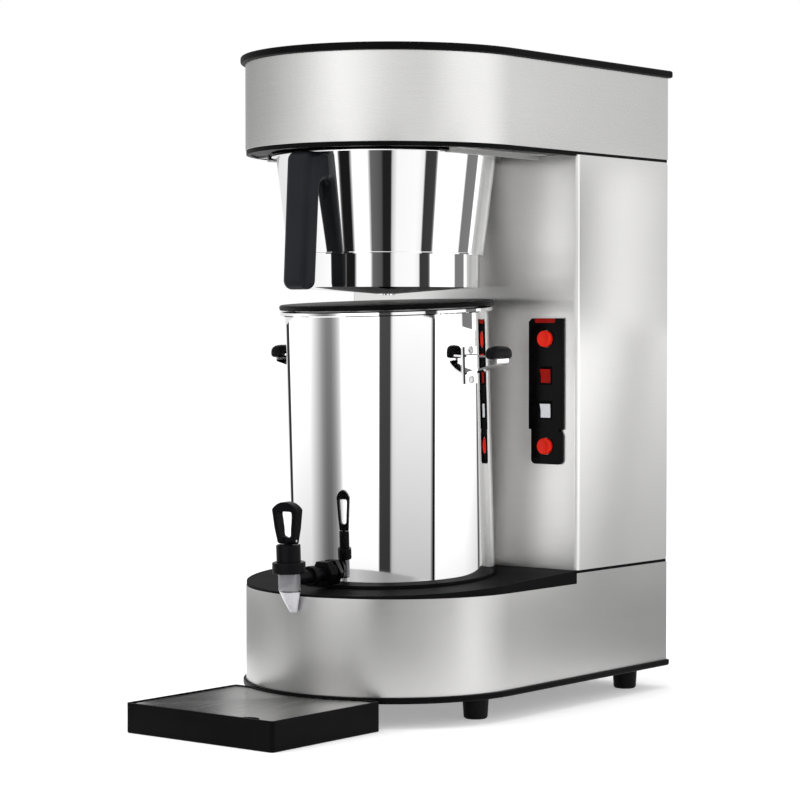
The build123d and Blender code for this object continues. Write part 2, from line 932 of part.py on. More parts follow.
def control_fascia():
    front = column_setback - fascia_thickness
    body = extrude(Plane.XZ * fascia_plan(), amount=fascia_thickness, dir=(0, 1, 0))
    body = Pos(0, front, 0) * body
    body = fillet(body.edges().group_by(Axis.Y)[0], 1.0)
    for z in (start_z, stop_z):
        body -= rod_y(button_radius + button_gap, front - 1, column_setback + 1, control_x, z)
    for z in (rocker_red_z, rocker_white_z):
        body -= rocker_opening(z, rocker_wall)
    return body


def switch_housings():
    parts = []
    front = column_setback - fascia_thickness
    inside = column_setback + sheet
    tip = column_setback - 3.0 + stem_length + button_travel + 1.0
    for z in (start_z, stop_z):
        can = rod_y(stem_radius + switch_can_wall, inside, tip + 4.0, control_x, z)
        parts.append(can - rod_y(stem_radius + stem_gap, inside, tip, control_x, z))
    half_x, half_z = rocker_room()
    wall = rocker_wall
    lip = front - bezel_proud
    x0 = control_x - half_x
    x1 = control_x + half_x
    for z in (rocker_red_z, rocker_white_z):
        box = slab(x0 - wall, x1 + wall, lip, front + switch_depth, z - half_z - wall, z + half_z + wall)
        box -= slab(x0, x1, lip, front + rocker_hollow, z - half_z, z + half_z)
        box -= rod_x(rocker_pin_radius + pin_gap, x0 - wall, x1 + wall, column_setback, z)
        parts.append(box)
    return group(parts)


def button(z):
    front = column_setback - fascia_thickness - button_proud
    back = column_setback - button_travel - 0.5
    cap = rod_y(button_radius, front, back, control_x, z)
    cap = fillet(cap.edges().group_by(Axis.Y)[0], 1.5)
    cap -= Pos(control_x, front - button_dish_radius + button_dish, z) * Sphere(button_dish_radius)
    return cap + rod_y(stem_radius, back, back + stem_length, control_x, z)


def rocker(z):
    half = rocker_height / 2
    front = -fascia_thickness
    back = 2.0 * rocker_pin_radius
    shoulder = half - 1.6
    face = ((front - 1.0, half), (front, 0), (front - 1.0, -half))
    points = (*face, (back, -shoulder), (back + 1.0, 0), (back, shoulder))
    paddle = side_profile(make_face(Polyline(*points, close=True)), rocker_width / 2)
    reach = rocker_width / 2 + rocker_gap + rocker_wall * 0.7
    paddle += rod_x(rocker_pin_radius, -reach, reach)
    return Pos(control_x, column_setback, z) * Rot(rocker_tilt, 0, 0) * paddle


# Brew funnel


def funnel_cone(inset):
    # the room inside the cone, up to its mouth
    foot = funnel_step_radius - inset
    mouth = funnel_mouth_radius - inset
    return turned((0, step_z), (foot, step_z), (mouth, funnel_under), (mouth, funnel_top), (0, funnel_top))


def funnel_shell():
    wall = funnel_wall
    lip = funnel_step_radius + funnel_lip
    shell = turned(
        (funnel_flange_radius, funnel_top),
        (funnel_flange_radius, funnel_under),
        (funnel_mouth_radius, funnel_under),
        (funnel_step_radius, step_z + 1.5 * wall),
        (lip, step_z + wall),
        (lip, step_z),
        (collar_radius - wall, step_z),
        (collar_radius - wall, step_z + wall),
        (funnel_step_radius - wall, step_z + wall),
        (funnel_mouth_radius - wall, funnel_top),
    )
    tongue_z = funnel_top - tongue_drop
    half = tongue_width / 2
    tongue = slab(-half, half, tongue_end_y, 0, tongue_z - tongue_thickness, tongue_z)
    for y in handle_screw_places():
        tongue -= rod(screw_radius + screw_gap, tongue_z - tongue_thickness, tongue_z, 0, y)
    tongue = Pos(0, -funnel_y, 0) * tongue - funnel_cone(0.3)
    return Pos(0, funnel_y, 0) * (shell + tongue)


def funnel_sump():
    # the cup under the step, with a dished floor that falls to the outlet
    wall = funnel_wall
    sump = turned(
        (collar_radius, step_z),
        (collar_radius, collar_z),
        (outlet_radius, outlet_z),
        (outlet_radius, outlet_z - outlet_drop),
        (outlet_radius - wall, outlet_z - outlet_drop),
        (outlet_radius - wall, outlet_z + wall),
        (collar_radius - wall, collar_z + wall),
        (collar_radius - wall, step_z),
    )
    return Pos(0, funnel_y, 0) * sump


def handle_screw_places():
    return (tongue_end_y + handle_screw_inset, tongue_end_y + handle_screw_inset + handle_screw_pitch)


def filter_screen():
    radius = funnel_step_radius - funnel_wall - screen_gap
    z0 = step_z + funnel_wall
    screen = rod(radius, z0, z0 + screen_thickness)
    outer = radius - screen_margin
    slot = SlotOverall(outer - screen_inner, screen_slot_width)
    cut = rise(Pos((outer + screen_inner) / 2, 0) * slot, z0, z0 + screen_thickness)
    for k in range(screen_slots):
        screen -= Rot(0, 0, 360.0 * k / screen_slots) * cut
    knob_z = z0 + screen_thickness + screen_post
    screen += rod(screen_post_radius, z0 + screen_thickness, knob_z)
    screen += rod(screen_knob_radius, knob_z, knob_z + screen_knob)
    return Pos(0, funnel_y, 0) * screen


def funnel_handle():
    top = funnel_top - grip_drop
    bottom = top - grip_length
    half = grip_thickness / 2
    slope = grip_lean / grip_length
    front_top = grip_top_y - half
    front_low = front_top - grip_lean
    back_low = front_low + grip_thickness - 1.0
    arm_low = top - arm_height
    back_high = grip_top_y + half - slope * arm_height
    root_y = funnel_y - funnel_mouth_radius + arm_inset
    points = (
        (root_y, top),
        (front_top, top),
        (front_low, bottom),
        (back_low, bottom),
        (back_high, arm_low),
        (root_y, arm_low),
    )
    face = make_face(Polyline(*points, close=True))
    low = face.vertices().sort_by(Axis.Y)[:2]
    face = fillet(low, grip_end_round)
    inner = face.vertices().sort_by_distance((back_high, arm_low))[0]
    face = fillet(inner, arm_fillet)
    outer = face.vertices().sort_by_distance((front_top, top))[0]
    face = fillet(outer, grip_end_round)
    handle = side_profile(face, grip_width / 2)
    handle = fillet(handle.edges().filter_by(lambda e: handle_edge(e, root_y)), grip_round)
    handle -= Pos(0, funnel_y, 0) * (funnel_cone(0) + rod(funnel_flange_radius, funnel_under, funnel_top))
    tongue_z = funnel_top - tongue_drop
    half = tongue_width / 2
    handle -= slab(-half, half, tongue_end_y, 0, tongue_z - tongue_thickness, tongue_z)
    for y in handle_screw_places():
        handle -= rod(screw_radius + screw_gap, arm_low - 20, tongue_z, 0, y)
        handle -= rod(screw_head_radius + screw_gap, arm_low - 20, arm_low + screw_head, 0, y)
    return handle


def handle_edge(edge, root_y):
    # the long edges of the grip, without those at the arm's inner end
    middle = edge @ 0.5
    return abs(middle.X) > grip_width / 2 - 0.1 and middle.Y < root_y - 0.5


def funnel_handle_screws():
    arm_low = funnel_top - grip_drop - arm_height
    top = funnel_top - tongue_drop
    screws = []
    for y in handle_screw_places():
        head = rod(screw_head_radius, arm_low, arm_low + screw_head, 0, y)
        screws.append(head + rod(screw_radius, arm_low + screw_head, top, 0, y))
    return group(screws)


# Urn, drawn upright about its own axis and then leaned with the deck


urn_place = Pos(0, urn_y, deck_z(urn_y)) * Rot(deck_slope, 0, 0) * Pos(0, 0, urn_foot + rest_gap)


def urn_shell():
    wall = urn_wall
    neck = urn_height - 2 * bead_radius
    shell = turned(
        (0, 0),
        (urn_radius, 0),
        (urn_radius, neck),
        (rim_radius - wall, neck),
        (rim_radius, neck + wall),
        (rim_radius, urn_height - wall),
        (rim_radius - wall, urn_height),
        (liner_radius + liner_wall, urn_height),
        (liner_radius + liner_wall, urn_height - wall),
        (rim_radius - 2 * wall, urn_height - wall),
        (rim_radius - 2 * wall, neck + wall),
        (urn_radius - wall, neck + wall),
        (urn_radius - wall, wall),
        (0, wall),
    )
    return shell - tap_bore()


def tap_bore():
    return rod_y(shank_radius, -urn_radius - 2, -liner_radius + 6, 0, shank_z)


def urn_liner():
    wall = liner_wall
    outer = liner_radius + wall
    liner = turned(
        (0, liner_floor),
        (outer - 6.0, liner_floor),
        (outer, liner_floor + 6.0),
        (outer, urn_height),
        (outer + 4.0, urn_height),
        (outer + 4.0, urn_height + wall),
        (liner_radius, urn_height + wall),
        (liner_radius, liner_floor + 6.0 + wall / 2),
        (liner_radius - 6.0 + wall / 2, liner_floor + wall),
        (0, liner_floor + wall),
    )
    return liner - tap_bore()


def urn_base_ring():
    outer = urn_radius - 1.5
    return rod(outer, -urn_foot, 0) - rod(outer - urn_foot_width, -urn_foot, 0)


def urn_lid():
    # a flat moulding with a plug below and a hole that the coffee runs in by
    plug = liner_radius - lid_plug_gap
    top = lid_z + lid_edge
    edge = trim_round - 0.7
    lid = turned(
        (lid_hole_radius, top - lid_hole_chamfer),
        (lid_hole_radius + lid_hole_chamfer, top),
        (lid_radius - edge, top),
        (lid_radius, top - edge),
        (lid_radius - 0.6, lid_z),
        (plug, lid_z),
        (plug, lid_z - lid_plug_depth),
        (plug - moulding, lid_z - lid_plug_depth),
        (plug - moulding, top - moulding),
        (lid_hole_radius, top - moulding),
    )
    return lid - lid_gasket()


def lid_gasket():
    # a ring in its groove round the lid's plug
    plug = liner_radius - lid_plug_gap
    low = lid_z - lid_plug_depth + gasket_lift
    inner = plug - gasket_seat
    outer = plug + gasket_width
    return rod(outer, low, low + gasket_height) - rod(inner, low, low + gasket_height)


# Side handles of the urn


def side_bracket():
    # a strip that runs out under the grip, turns back and comes down to the wall
    z1 = side_grip_z
    z0 = side_grip_z - bracket_drop
    outer = grip_x + side_grip_depth / 2 - bracket_inset
    inner = urn_radius - 4.0
    half = bracket_width / 2
    corners = ((inner, z1), (outer, z1), (outer, z1 - bracket_return), (inner, z0))
    route = FilletPolyline(*corners, radius=bracket_bend)
    strip = extrude(Plane.XZ * trace(route, line_width=bracket_thickness), amount=half, both=True)
    strip += slab(inner, urn_radius + bracket_thickness, -half, half, z0 - bracket_foot, z1 + bracket_foot)
    for z in bracket_rivet_levels():
        strip -= rod_x(rivet_radius, inner - 2, urn_radius + 6, 0, z)
    return strip - rod(urn_radius, -10, urn_height)


def bracket_rivet_levels():
    return (side_grip_z - bracket_drop - bracket_foot / 2 - 0.5, side_grip_z + bracket_foot / 2 + 1.0)


def both_sides(right):
    return group([right, mirror(right, Plane.YZ)])


def side_brackets():
    return both_sides(side_bracket())


def side_grips():
    z0 = side_grip_z - 3.5
    grip = Box(side_grip_depth, side_grip_length, side_grip_height)
    grip = Pos(grip_x, 0, z0 + side_grip_height / 2) * grip
    grip = fillet(grip.edges().filter_by(Axis.Y), side_grip_round)
    grip = fillet(grip.edges().filter_by(Axis.Z) + grip.edges().filter_by(Axis.X), 0.4)
    return both_sides(grip - side_bracket_fill())


def side_bracket_fill():
    # the room that the strip takes inside the grip, open below
    half = bracket_width / 2
    outer = grip_x + side_grip_depth / 2 - bracket_inset + bracket_thickness / 2
    top = side_grip_z + bracket_thickness / 2
    return slab(0, outer, -half, half, side_grip_z - bracket_drop, top)


def bracket_rivets():
    rivets = []
    for z in bracket_rivet_levels():
        face = urn_radius + bracket_thickness
        head = rod_x(rivet_radius * 1.9, face, face + 1.2, 0, z)
        shank = rod_x(rivet_radius - slack, urn_radius - 1.0, face, 0, z)
        rivets += [head + shank, mirror(head + shank, Plane.YZ)]
    return group([rivet - rod(urn_radius, 0, urn_height) for rivet in rivets])


# Tap, drawn about its own vertical axis in front of the urn


tap_place = Pos(0, -tap_reach, 0)


def horn(top_radius, top, wall):
    # lofted from the barrel to a small mouth that is set back towards the urn
    mouth = spout_tip_radius - (spout_tip_wall if wall else 0)
    levels = (
        (top, top_radius, 0.0),
        (horn_z, horn_radius - wall, horn_set_back),
        (-spout_drop, mouth, spout_set_back),
    )
    return loft([Pos(0, dy, z) * Circle(radius) for z, radius, dy in levels])


def spout_outside():
    return horn(barrel_radius, seat_z, 0) + rod(barrel_radius, seat_z, barrel_top_z)


def tap_spout():
    spout = spout_outside() - horn(seat_hole_radius, seat_z - 2.0, barrel_wall)
    spout -= rod(barrel_radius - barrel_wall, seat_z, barrel_top_z)
    spout -= rod(seat_hole_radius, seat_z - 2.5, seat_z)
    return spout - rod_y(shank_bore, 0, barrel_radius + 2, 0, shank_z)


def tap_shank():
    tube_y1 = tap_reach - liner_radius - liner_wall + 4.0
    shank = rod_y(shank_radius - slack, 0, tube_y1, 0, shank_z)
    nut_y = tap_wall_y - washer_thickness - nut_thickness
    shoulder_y = (collar_nut_radius + nut_y - shoulder_width) / 2
    shank += rod_y(shoulder_radius, shoulder_y, shoulder_y + shoulder_width, 0, shank_z)
    shank -= spout_outside()
    return shank - rod_y(shank_bore, 0, tube_y1, 0, shank_z)


def tap_nut():
    y1 = tap_wall_y - washer_thickness
    nut = Rot(90, 0, 0) * extrude(hexagon(nut_size), amount=nut_thickness)
    nut = Pos(0, y1, shank_z) * nut
    return nut - rod_y(shank_radius, 0, far, 0, shank_z)


def tap_washer():
    washer = rod_y(washer_radius, tap_wall_y - washer_thickness, tap_wall_y + 4.0, 0, shank_z)
    washer -= rod_y(shank_radius, 0, far, 0, shank_z)
    return washer - Pos(0, tap_reach, 0) * rod(urn_radius, -10, urn_height)


def tap_collar():
    z0 = barrel_top_z
    z1 = z0 + collar_nut_height
    collar = rod(collar_nut_radius, z0, z1)
    rims = collar.edges().group_by(Axis.Z)
    collar = fillet(rims[-1] + rims[0], collar_nut_round)
    return collar - rod(bonnet_radius + bonnet_gap, z0, z1)


def tap_bonnet():
    bonnet = rod(bonnet_radius, barrel_top_z, bonnet_top_z)
    bonnet = fillet(bonnet.edges().group_by(Axis.Z)[-1], 1.0)
    half = lever_post_width / 2 - lever_post_gap
    depth = lever_hub_radius - 0.4
    post = slab(-half, half, -depth, depth, bonnet_top_z - 2.0, pivot_z)
    post += rod_x(depth, -half, half, 0, pivot_z)
    bonnet += post
    bonnet -= rod_x(lever_pin_radius, -half, half, 0, pivot_z)
    bonnet -= rod(tap_stem_radius + stem_gap, barrel_top_z, bonnet_top_z - bonnet_roof)
    room = tap_stem_radius + spring_room
    return bonnet - rod(room, barrel_top_z + bonnet_roof, bonnet_top_z - 2 * bonnet_roof)


def tap_stem():
    # the valve's stem, with a collar that its spring would press on
    z0 = seat_z + cup_height
    stem = rod(tap_stem_radius, z0, bonnet_top_z - bonnet_roof - stem_lift - 1.0)
    flange_z = barrel_top_z + bonnet_roof + 0.5
    return stem + rod(tap_stem_radius + stem_flange_width, flange_z, flange_z + stem_flange)


def seat_cup():
    return turned(
        (0, seat_z + seat_gap),
        (cup_radius - 1.5, seat_z + seat_gap),
        (cup_radius, seat_z + 1.5),
        (cup_radius - 0.6, seat_z + cup_height - 1.0),
        (tap_stem_radius + 1.0, seat_z + cup_height),
        (0, seat_z + cup_height),
    )


def tap_pin():
    reach = lever_foot_width / 2 - 0.6
    return rod_x(lever_pin_radius - slack, -reach, reach, 0, pivot_z)


def lever_top_z():
    return bonnet_top_z + lever_height


def lever_half_width(z, bar):
    # half the loop's width at a level: it widens evenly from the hub to the shoulders
    shoulder = lever_top_z() - lever_crown
    share = (z - pivot_z) / (shoulder - pivot_z)
    return (lever_foot_width + (lever_top_width - lever_foot_width) * share) / 2 - bar


def lever_outside():
    shoulder = lever_top_z() - lever_crown
    half = lever_top_width / 2
    foot = lever_foot_width / 2
    sides = Polyline((-half, shoulder), (-foot, pivot_z), (foot, pivot_z), (half, shoulder))
    return make_face(sides + ThreePointArc((half, shoulder), (0, lever_top_z()), (-half, shoulder)))


def lever_hole():
    top = lever_top_z() - lever_top_bar
    low = pivot_z + lever_hub_radius
    half_top = lever_half_width(top, lever_side_bar)
    half_low = lever_half_width(low, lever_side_bar)
    corners = ((-half_top, top), (-half_low, low), (half_low, low), (half_top, top))
    hole = make_face(Polyline(*corners, close=True))
    return fillet(hole.vertices(), lever_hole_round)


def tap_lever():
    half = lever_thickness / 2
    loop = extrude(Plane.XZ * lever_outside(), amount=half, both=True)
    loop -= extrude(Plane.XZ * lever_hole(), amount=far, both=True)
    flare_z = pivot_z + lever_flare
    side = (
        (-lever_hub_radius, pivot_z),
        (lever_hub_radius, pivot_z),
        (half, flare_z),
        (half, far),
        (-half, far),
        (-half, flare_z),
    )
    loop = loop & side_profile(make_face(Polyline(*side, close=True)), far)
    loop += rod_x(lever_hub_radius, -lever_foot_width / 2, lever_foot_width / 2, 0, pivot_z)
    reach = lever_post_width / 2
    loop -= slab(-reach, reach, -far, far, 0, pivot_z + lever_hub_radius + 0.6)
    return loop - rod_x(lever_pin_radius + pin_gap, -far, far, 0, pivot_z)


# Drip tray


def tray_plan(inset):
    # a rectangle whose back is hollowed to stand round the nose of the plinth
    half = tray_half_width - inset
    front = tray_front_y + inset
    rear = tray_rear_y - inset
    nest = nose_radius + plinth_overhang + tray_gap + inset
    corner_x = sqrt(nest ** 2 - rear ** 2)
    arc = ThreePointArc((-corner_x, rear), (0, -nest), (corner_x, rear))
    right = ((corner_x, rear), (half, rear), (half, front))
    left = ((-half, front), (-half, rear), (-corner_x, rear))
    sides = Polyline(*right, *left)
    face = make_face(arc + sides)
    corners = face.vertices().filter_by(lambda v: abs(v.X) > corner_x + 1.0)
    return fillet(corners, max(tray_corner - inset, 1.0))


def drip_pan():
    ledge_z = tray_height - ledge_depth
    pan = rise(tray_plan(0), 0, tray_height)
    pan = fillet(pan.edges().group_by(Axis.Z)[0], tray_bottom_round)
    pan -= rise(tray_plan(tray_wall), ledge_z, tray_height)
    return pan - rise(tray_plan(tray_wall + ledge_width), tray_floor, tray_height)


def drip_plate():
    top = tray_height - ledge_depth + plate_lip
    outline = tray_plan(tray_wall + plate_gap)
    plate = rise(outline, top - plate_lip, top)
    plate = fillet(plate.edges().group_by(Axis.Z)[-1], 1.0)
    plate -= rise(tray_plan(tray_wall + plate_gap + plate_sheet), top - plate_lip, top - plate_sheet)
    notch = SlotOverall(notch_width, 2 * notch_depth)
    front = tray_front_y + tray_wall
    return plate - rise(Pos(notch_x, front) * notch, top - plate_lip, top)


def on_urn(shape):
    return urn_place * shape


def on_tap(shape):
    return urn_place * tap_place * shape


def frame_shift():
    # the middle of the whole box goes to y = 0
    rear = housing_depth + max(cover_overhang, inlet_thread_length, gland_length)
    return Pos(0, -(tray_front_y + rear) / 2, 0)


def build():
    return {
        "plinth": plinth(),
        "feet": feet(),
        "foot_screws": foot_screws(),
        "base_wrap": base_wrap(),
        "deck_cover": deck_cover(),
        "column_shell": column_shell(),
        "rear_panel": rear_panel(),
        "rear_panel_screws": rear_panel_screws(),
        "head_plate": head_plate(),
        "head_wrap": head_wrap(),
        "top_cover": top_cover(),
        "funnel_rails": funnel_rails(),
        "spray_head": spray_head(),
        "tank_shelf": tank_shelf(),
        "water_tank": water_tank(),
        "tank_lid": tank_lid(),
        "tank_lid_screws": tank_lid_screws(),
        "heating_element": heating_element(),
        "level_probe": level_probe(),
        "dry_boil_thermostat": dry_boil_thermostat(),
        "spray_pipe": spray_pipe(),
        "inlet_valve": inlet_valve(),
        "valve_coil": valve_coil(),
        "fill_pipe": fill_pipe(),
        "cable_gland": cable_gland(),
        "electronics_plate": electronics_plate(),
        "control_board": control_board(),
        "terminal_block": terminal_block(),
        "control_fascia": control_fascia(),
        "switch_housings": switch_housings(),
        "start_button": button(start_z),
        "stop_button": button(stop_z),
        "red_rocker": rocker(rocker_red_z),
        "white_rocker": rocker(rocker_white_z),
        "funnel_shell": funnel_shell(),
        "funnel_sump": funnel_sump(),
        "filter_screen": filter_screen(),
        "funnel_handle": funnel_handle(),
        "funnel_handle_screws": funnel_handle_screws(),
        "urn_shell": on_urn(urn_shell()),
        "urn_liner": on_urn(urn_liner()),
        "urn_base_ring": on_urn(urn_base_ring()),
        "urn_lid": on_urn(urn_lid()),
        "lid_gasket": on_urn(lid_gasket()),
        "side_brackets": on_urn(side_brackets()),
        "side_grips": on_urn(side_grips()),
        "bracket_rivets": on_urn(bracket_rivets()),
        "tap_spout": on_tap(tap_spout()),
        "tap_shank": on_tap(tap_shank()),
        "tap_nut": on_tap(tap_nut()),
        "tap_washer": on_tap(tap_washer()),
        "tap_collar": on_tap(tap_collar()),
        "tap_bonnet": on_tap(tap_bonnet()),
        "tap_stem": on_tap(tap_stem()),
        "seat_cup": on_tap(seat_cup()),
        "tap_pin": on_tap(tap_pin()),
        "tap_lever": on_tap(tap_lever()),
        "drip_pan": drip_pan(),
        "drip_plate": drip_plate(),
    }


os.makedirs("parts", exist_ok=True)
shift = frame_shift()
for name, shape in build().items():
    export_step(shift * shape, f"parts/{name}.step")
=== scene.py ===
import json
import math

import bmesh
import bpy
from mathutils import Matrix, Vector


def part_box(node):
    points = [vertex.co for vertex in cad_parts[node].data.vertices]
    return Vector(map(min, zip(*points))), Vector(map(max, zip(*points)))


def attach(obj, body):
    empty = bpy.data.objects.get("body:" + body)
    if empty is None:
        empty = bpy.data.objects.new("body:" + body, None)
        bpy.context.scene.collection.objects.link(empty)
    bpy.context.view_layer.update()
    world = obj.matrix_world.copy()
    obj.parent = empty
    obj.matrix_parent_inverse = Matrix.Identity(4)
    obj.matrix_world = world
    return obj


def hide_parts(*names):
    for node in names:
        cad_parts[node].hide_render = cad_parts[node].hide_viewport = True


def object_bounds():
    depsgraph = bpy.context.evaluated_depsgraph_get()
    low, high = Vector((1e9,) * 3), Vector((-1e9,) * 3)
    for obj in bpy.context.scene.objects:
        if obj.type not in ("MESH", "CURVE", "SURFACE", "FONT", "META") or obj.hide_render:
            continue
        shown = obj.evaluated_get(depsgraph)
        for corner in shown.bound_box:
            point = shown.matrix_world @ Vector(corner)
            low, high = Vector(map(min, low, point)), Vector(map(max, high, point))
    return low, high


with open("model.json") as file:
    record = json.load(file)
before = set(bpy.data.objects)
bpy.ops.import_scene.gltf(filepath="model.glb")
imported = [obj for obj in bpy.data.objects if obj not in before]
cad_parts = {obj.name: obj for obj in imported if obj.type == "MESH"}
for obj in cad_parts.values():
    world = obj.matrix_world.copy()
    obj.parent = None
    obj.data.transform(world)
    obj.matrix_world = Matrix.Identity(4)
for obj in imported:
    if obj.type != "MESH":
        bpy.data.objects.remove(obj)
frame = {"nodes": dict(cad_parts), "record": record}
cadBox = [list(corner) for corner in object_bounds()]
nodes = frame["nodes"]
bodyOf = {node: body for body, members in frame["record"]["behaviour"]["bodies"].items() for node in members}
print("frame loaded:", len(nodes), "nodes")


# What the pieces share

skin = {"weld": 0.000002, "flat": 0.4, "crease": 32.0, "bevelSteps": 2}


def linked(name, data):
    made = bpy.data.objects.new(name, data)
    bpy.context.scene.collection.objects.link(made)
    return made


def opened(mesh):
    # the mesh to work on, with its loose triangles joined
    work = bmesh.new()
    work.from_mesh(mesh)
    bmesh.ops.remove_doubles(work, verts=work.verts, dist=skin["weld"])
    return work


def closed(work, mesh, crease):
    # back into the mesh, smooth where the surface turns by less than the crease
    for face in work.faces:
        face.smooth = True
    for line in work.edges:
        line.smooth = line.is_manifold and line.calc_face_angle(0) < math.radians(crease)
    work.to_mesh(mesh)
    work.free()


def smoothed(piece, crease):
    work = opened(piece.data)
    bmesh.ops.recalc_face_normals(work, faces=work.faces)
    closed(work, piece.data, crease)


def standsFor(piece, node):
    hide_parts(node)
    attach(piece, bodyOf[node])


# Camera, at the photograph's viewing angle

cameraSetup = {
    "place": (1.6059, -2.01944, 0.39218),
    "azimuth": 38.419,
    "elevation": 1.7154,
    "lens": 112.85,
    "sensor": 36.0,
}


def makeCamera(setup):
    data = bpy.data.cameras.new("productCamera")
    data.lens = setup["lens"]
    data.sensor_width = setup["sensor"]
    camera = linked("productCamera", data)
    camera.location = setup["place"]
    camera.rotation_euler = (math.radians(90 - setup["elevation"]), 0, math.radians(setup["azimuth"]))
    bpy.context.scene.camera = camera
    bpy.context.scene.view_settings.view_transform = "Standard"


makeCamera(cameraSetup)
print("camera ready")


# Node maths: a wire is a socket that takes Python's operators

class Wire:
    def __init__(self, tree, socket):
        self.tree = tree
        self.socket = socket

    def __add__(self, other):
        return self.tree.maths("ADD", self, other)

    def __sub__(self, other):
        return self.tree.maths("SUBTRACT", self, other)

    def __rsub__(self, other):
        return self.tree.maths("SUBTRACT", other, self)

    def __mul__(self, other):
        return self.tree.maths("MULTIPLY", self, other)

    def __gt__(self, other):
        return self.tree.maths("GREATER_THAN", self, other)

    def __lt__(self, other):
        return self.tree.maths("LESS_THAN", self, other)

    __radd__ = __add__
    __rmul__ = __mul__


class NodeTree:
    def __init__(self, tree):
        self.tree = tree

    def node(self, kind, settings=None, values=None, out=0):
        # any node: its settings first, then the values or links of its sockets
        made = self.tree.nodes.new(kind)
        for key, value in (settings or {}).items():
            if key == "stops":
                self.setStops(made.color_ramp.elements, value)
            else:
                setattr(made, key, value)
        for key, value in (values or {}).items():
            self.feed(made.inputs[key], value)
        return Wire(self, made.outputs[out])

    def setStops(self, steps, stops):
        while len(steps) < len(stops):
            steps.new(1.0)
        for step, (position, tone) in zip(steps, stops):
            step.position = position
            step.color = tone

    def feed(self, socket, value):
        if isinstance(value, (list, tuple)) and value and isinstance(value[0], Wire):
            for each in value:
                self.tree.links.new(each.socket, socket)
        elif isinstance(value, Wire):
            self.tree.links.new(value.socket, socket)
        else:
            socket.default_value = value

    def maths(self, operation, first, second=0.0):
        return self.node("ShaderNodeMath", {"operation": operation}, {0: first, 1: second})


noiseReach = (0.3, 0.7)  # where most values of a noise lie


class Finish(NodeTree):
    def __init__(self, name):
        self.material = bpy.data.materials.new(name)
        self.material.use_nodes = True
        super().__init__(self.material.node_tree)
        self.shader = self.tree.nodes["Principled BSDF"]
        self.place = self.node("ShaderNodeTexCoord", out="Object")

    def along(self, axis):
        return self.node("ShaderNodeSeparateXYZ", values={0: self.place}, out=axis)

    def stretched(self, scale):
        return self.node("ShaderNodeMapping", values={"Vector": self.place, "Scale": scale})

    def noise(self, vector, scale=1.0, detail=2.0, roughness=0.5):
        values = {"Vector": vector, "Scale": scale, "Detail": detail, "Roughness": roughness}
        return self.node("ShaderNodeTexNoise", values=values)

    def span(self, value, low, high):
        # a noise value becomes low to high
        start, end = noiseReach
        values = {"Value": value, "From Min": start, "From Max": end, "To Min": low, "To Max": high}
        return self.node("ShaderNodeMapRange", values=values)

    def blendColour(self, factor, first, second):
        # sockets 6 and 7 are the Mix node's colours, and its output 2 is the mixed one
        return self.node("ShaderNodeMix", {"data_type": "RGBA"}, {0: factor, 6: first, 7: second}, out=2)

    def bump(self, height, strength, distance):
        values = {"Height": height, "Strength": strength, "Distance": distance}
        return self.node("ShaderNodeBump", values=values)

    def set(self, **values):
        for key, value in values.items():
            self.feed(self.shader.inputs[key.replace("_", " ")], value)


def colour(grey, tint=(1, 1, 1)):
    return (grey * tint[0], grey * tint[1], grey * tint[2], 1)


# Brushed steel: fine lines along the sheet and large faint clouds

steelLook = {
    "lineDetail": 3.0, "lineRoughness": 0.6, "lineShare": 0.4, "cloudScale": 7.0, "shade": 0.04,
    "tint": (1, 0.995, 0.985), "roughSpread": 0.04, "bump": 0.07, "depth": 0.0002,
}
levelGrain = (14, 14, 1500)  # lines run level round the sheet
frontGrain = (1500, 14, 14)  # lines run from front to back
shortGrain = (60, 60, 600)


def brushedSteel(name, tone, rough, grain):
    finish = Finish(name)
    look = steelLook
    lines = finish.noise(finish.stretched(grain), detail=look["lineDetail"], roughness=look["lineRoughness"])
    cloud = finish.noise(finish.place, scale=look["cloudScale"])
    mixed = lines * look["lineShare"] + cloud * (1 - look["lineShare"])
    dark = colour(tone * (1 - look["shade"]), look["tint"])
    light = colour(tone * (1 + look["shade"]), look["tint"])
    finish.set(
        Metallic=1.0,
        Base_Color=finish.blendColour(finish.span(mixed, 0.0, 1.0), dark, light),
        Roughness=finish.span(lines, rough - look["roughSpread"], rough + look["roughSpread"]),
        Normal=finish.bump(lines, look["bump"], look["depth"]),
    )
    return finish.material


# Polished steel of the urn and the funnel: slow waves along the height, and faint smears

mirrorLook = {
    "wave": (9, 9, 2.2), "waveDetail": 1.0, "smearScale": 30.0, "smearDetail": 3.0, "dull": 0.985,
    "roughLow": 0.8, "roughHigh": 1.3, "bump": 0.05, "depth": 0.002,
}


def mirrorSteel(name, tone, rough):
    finish = Finish(name)
    look = mirrorLook
    wave = finish.noise(finish.stretched(look["wave"]), detail=look["waveDetail"])
    smear = finish.noise(finish.place, scale=look["smearScale"], detail=look["smearDetail"])
    dull = colour(tone * look["dull"])
    finish.set(
        Metallic=1.0,
        Base_Color=finish.blendColour(finish.span(smear, 0.0, 1.0), dull, colour(tone)),
        Roughness=finish.span(smear, rough * look["roughLow"], rough * look["roughHigh"]),
        Normal=finish.bump(wave, look["bump"], look["depth"]),
    )
    return finish.material


# Moulded plastic and rubber: a fine grain, and patches that are a little more worn

mouldLook = {
    "patchScale": 18.0, "patchDetail": 3.0, "wornTimes": 1.3, "wornPlus": 0.001, "grainShare": 0.4,
    "roughSpread": 0.05, "bump": 0.35, "coatRoughness": 0.08,
}


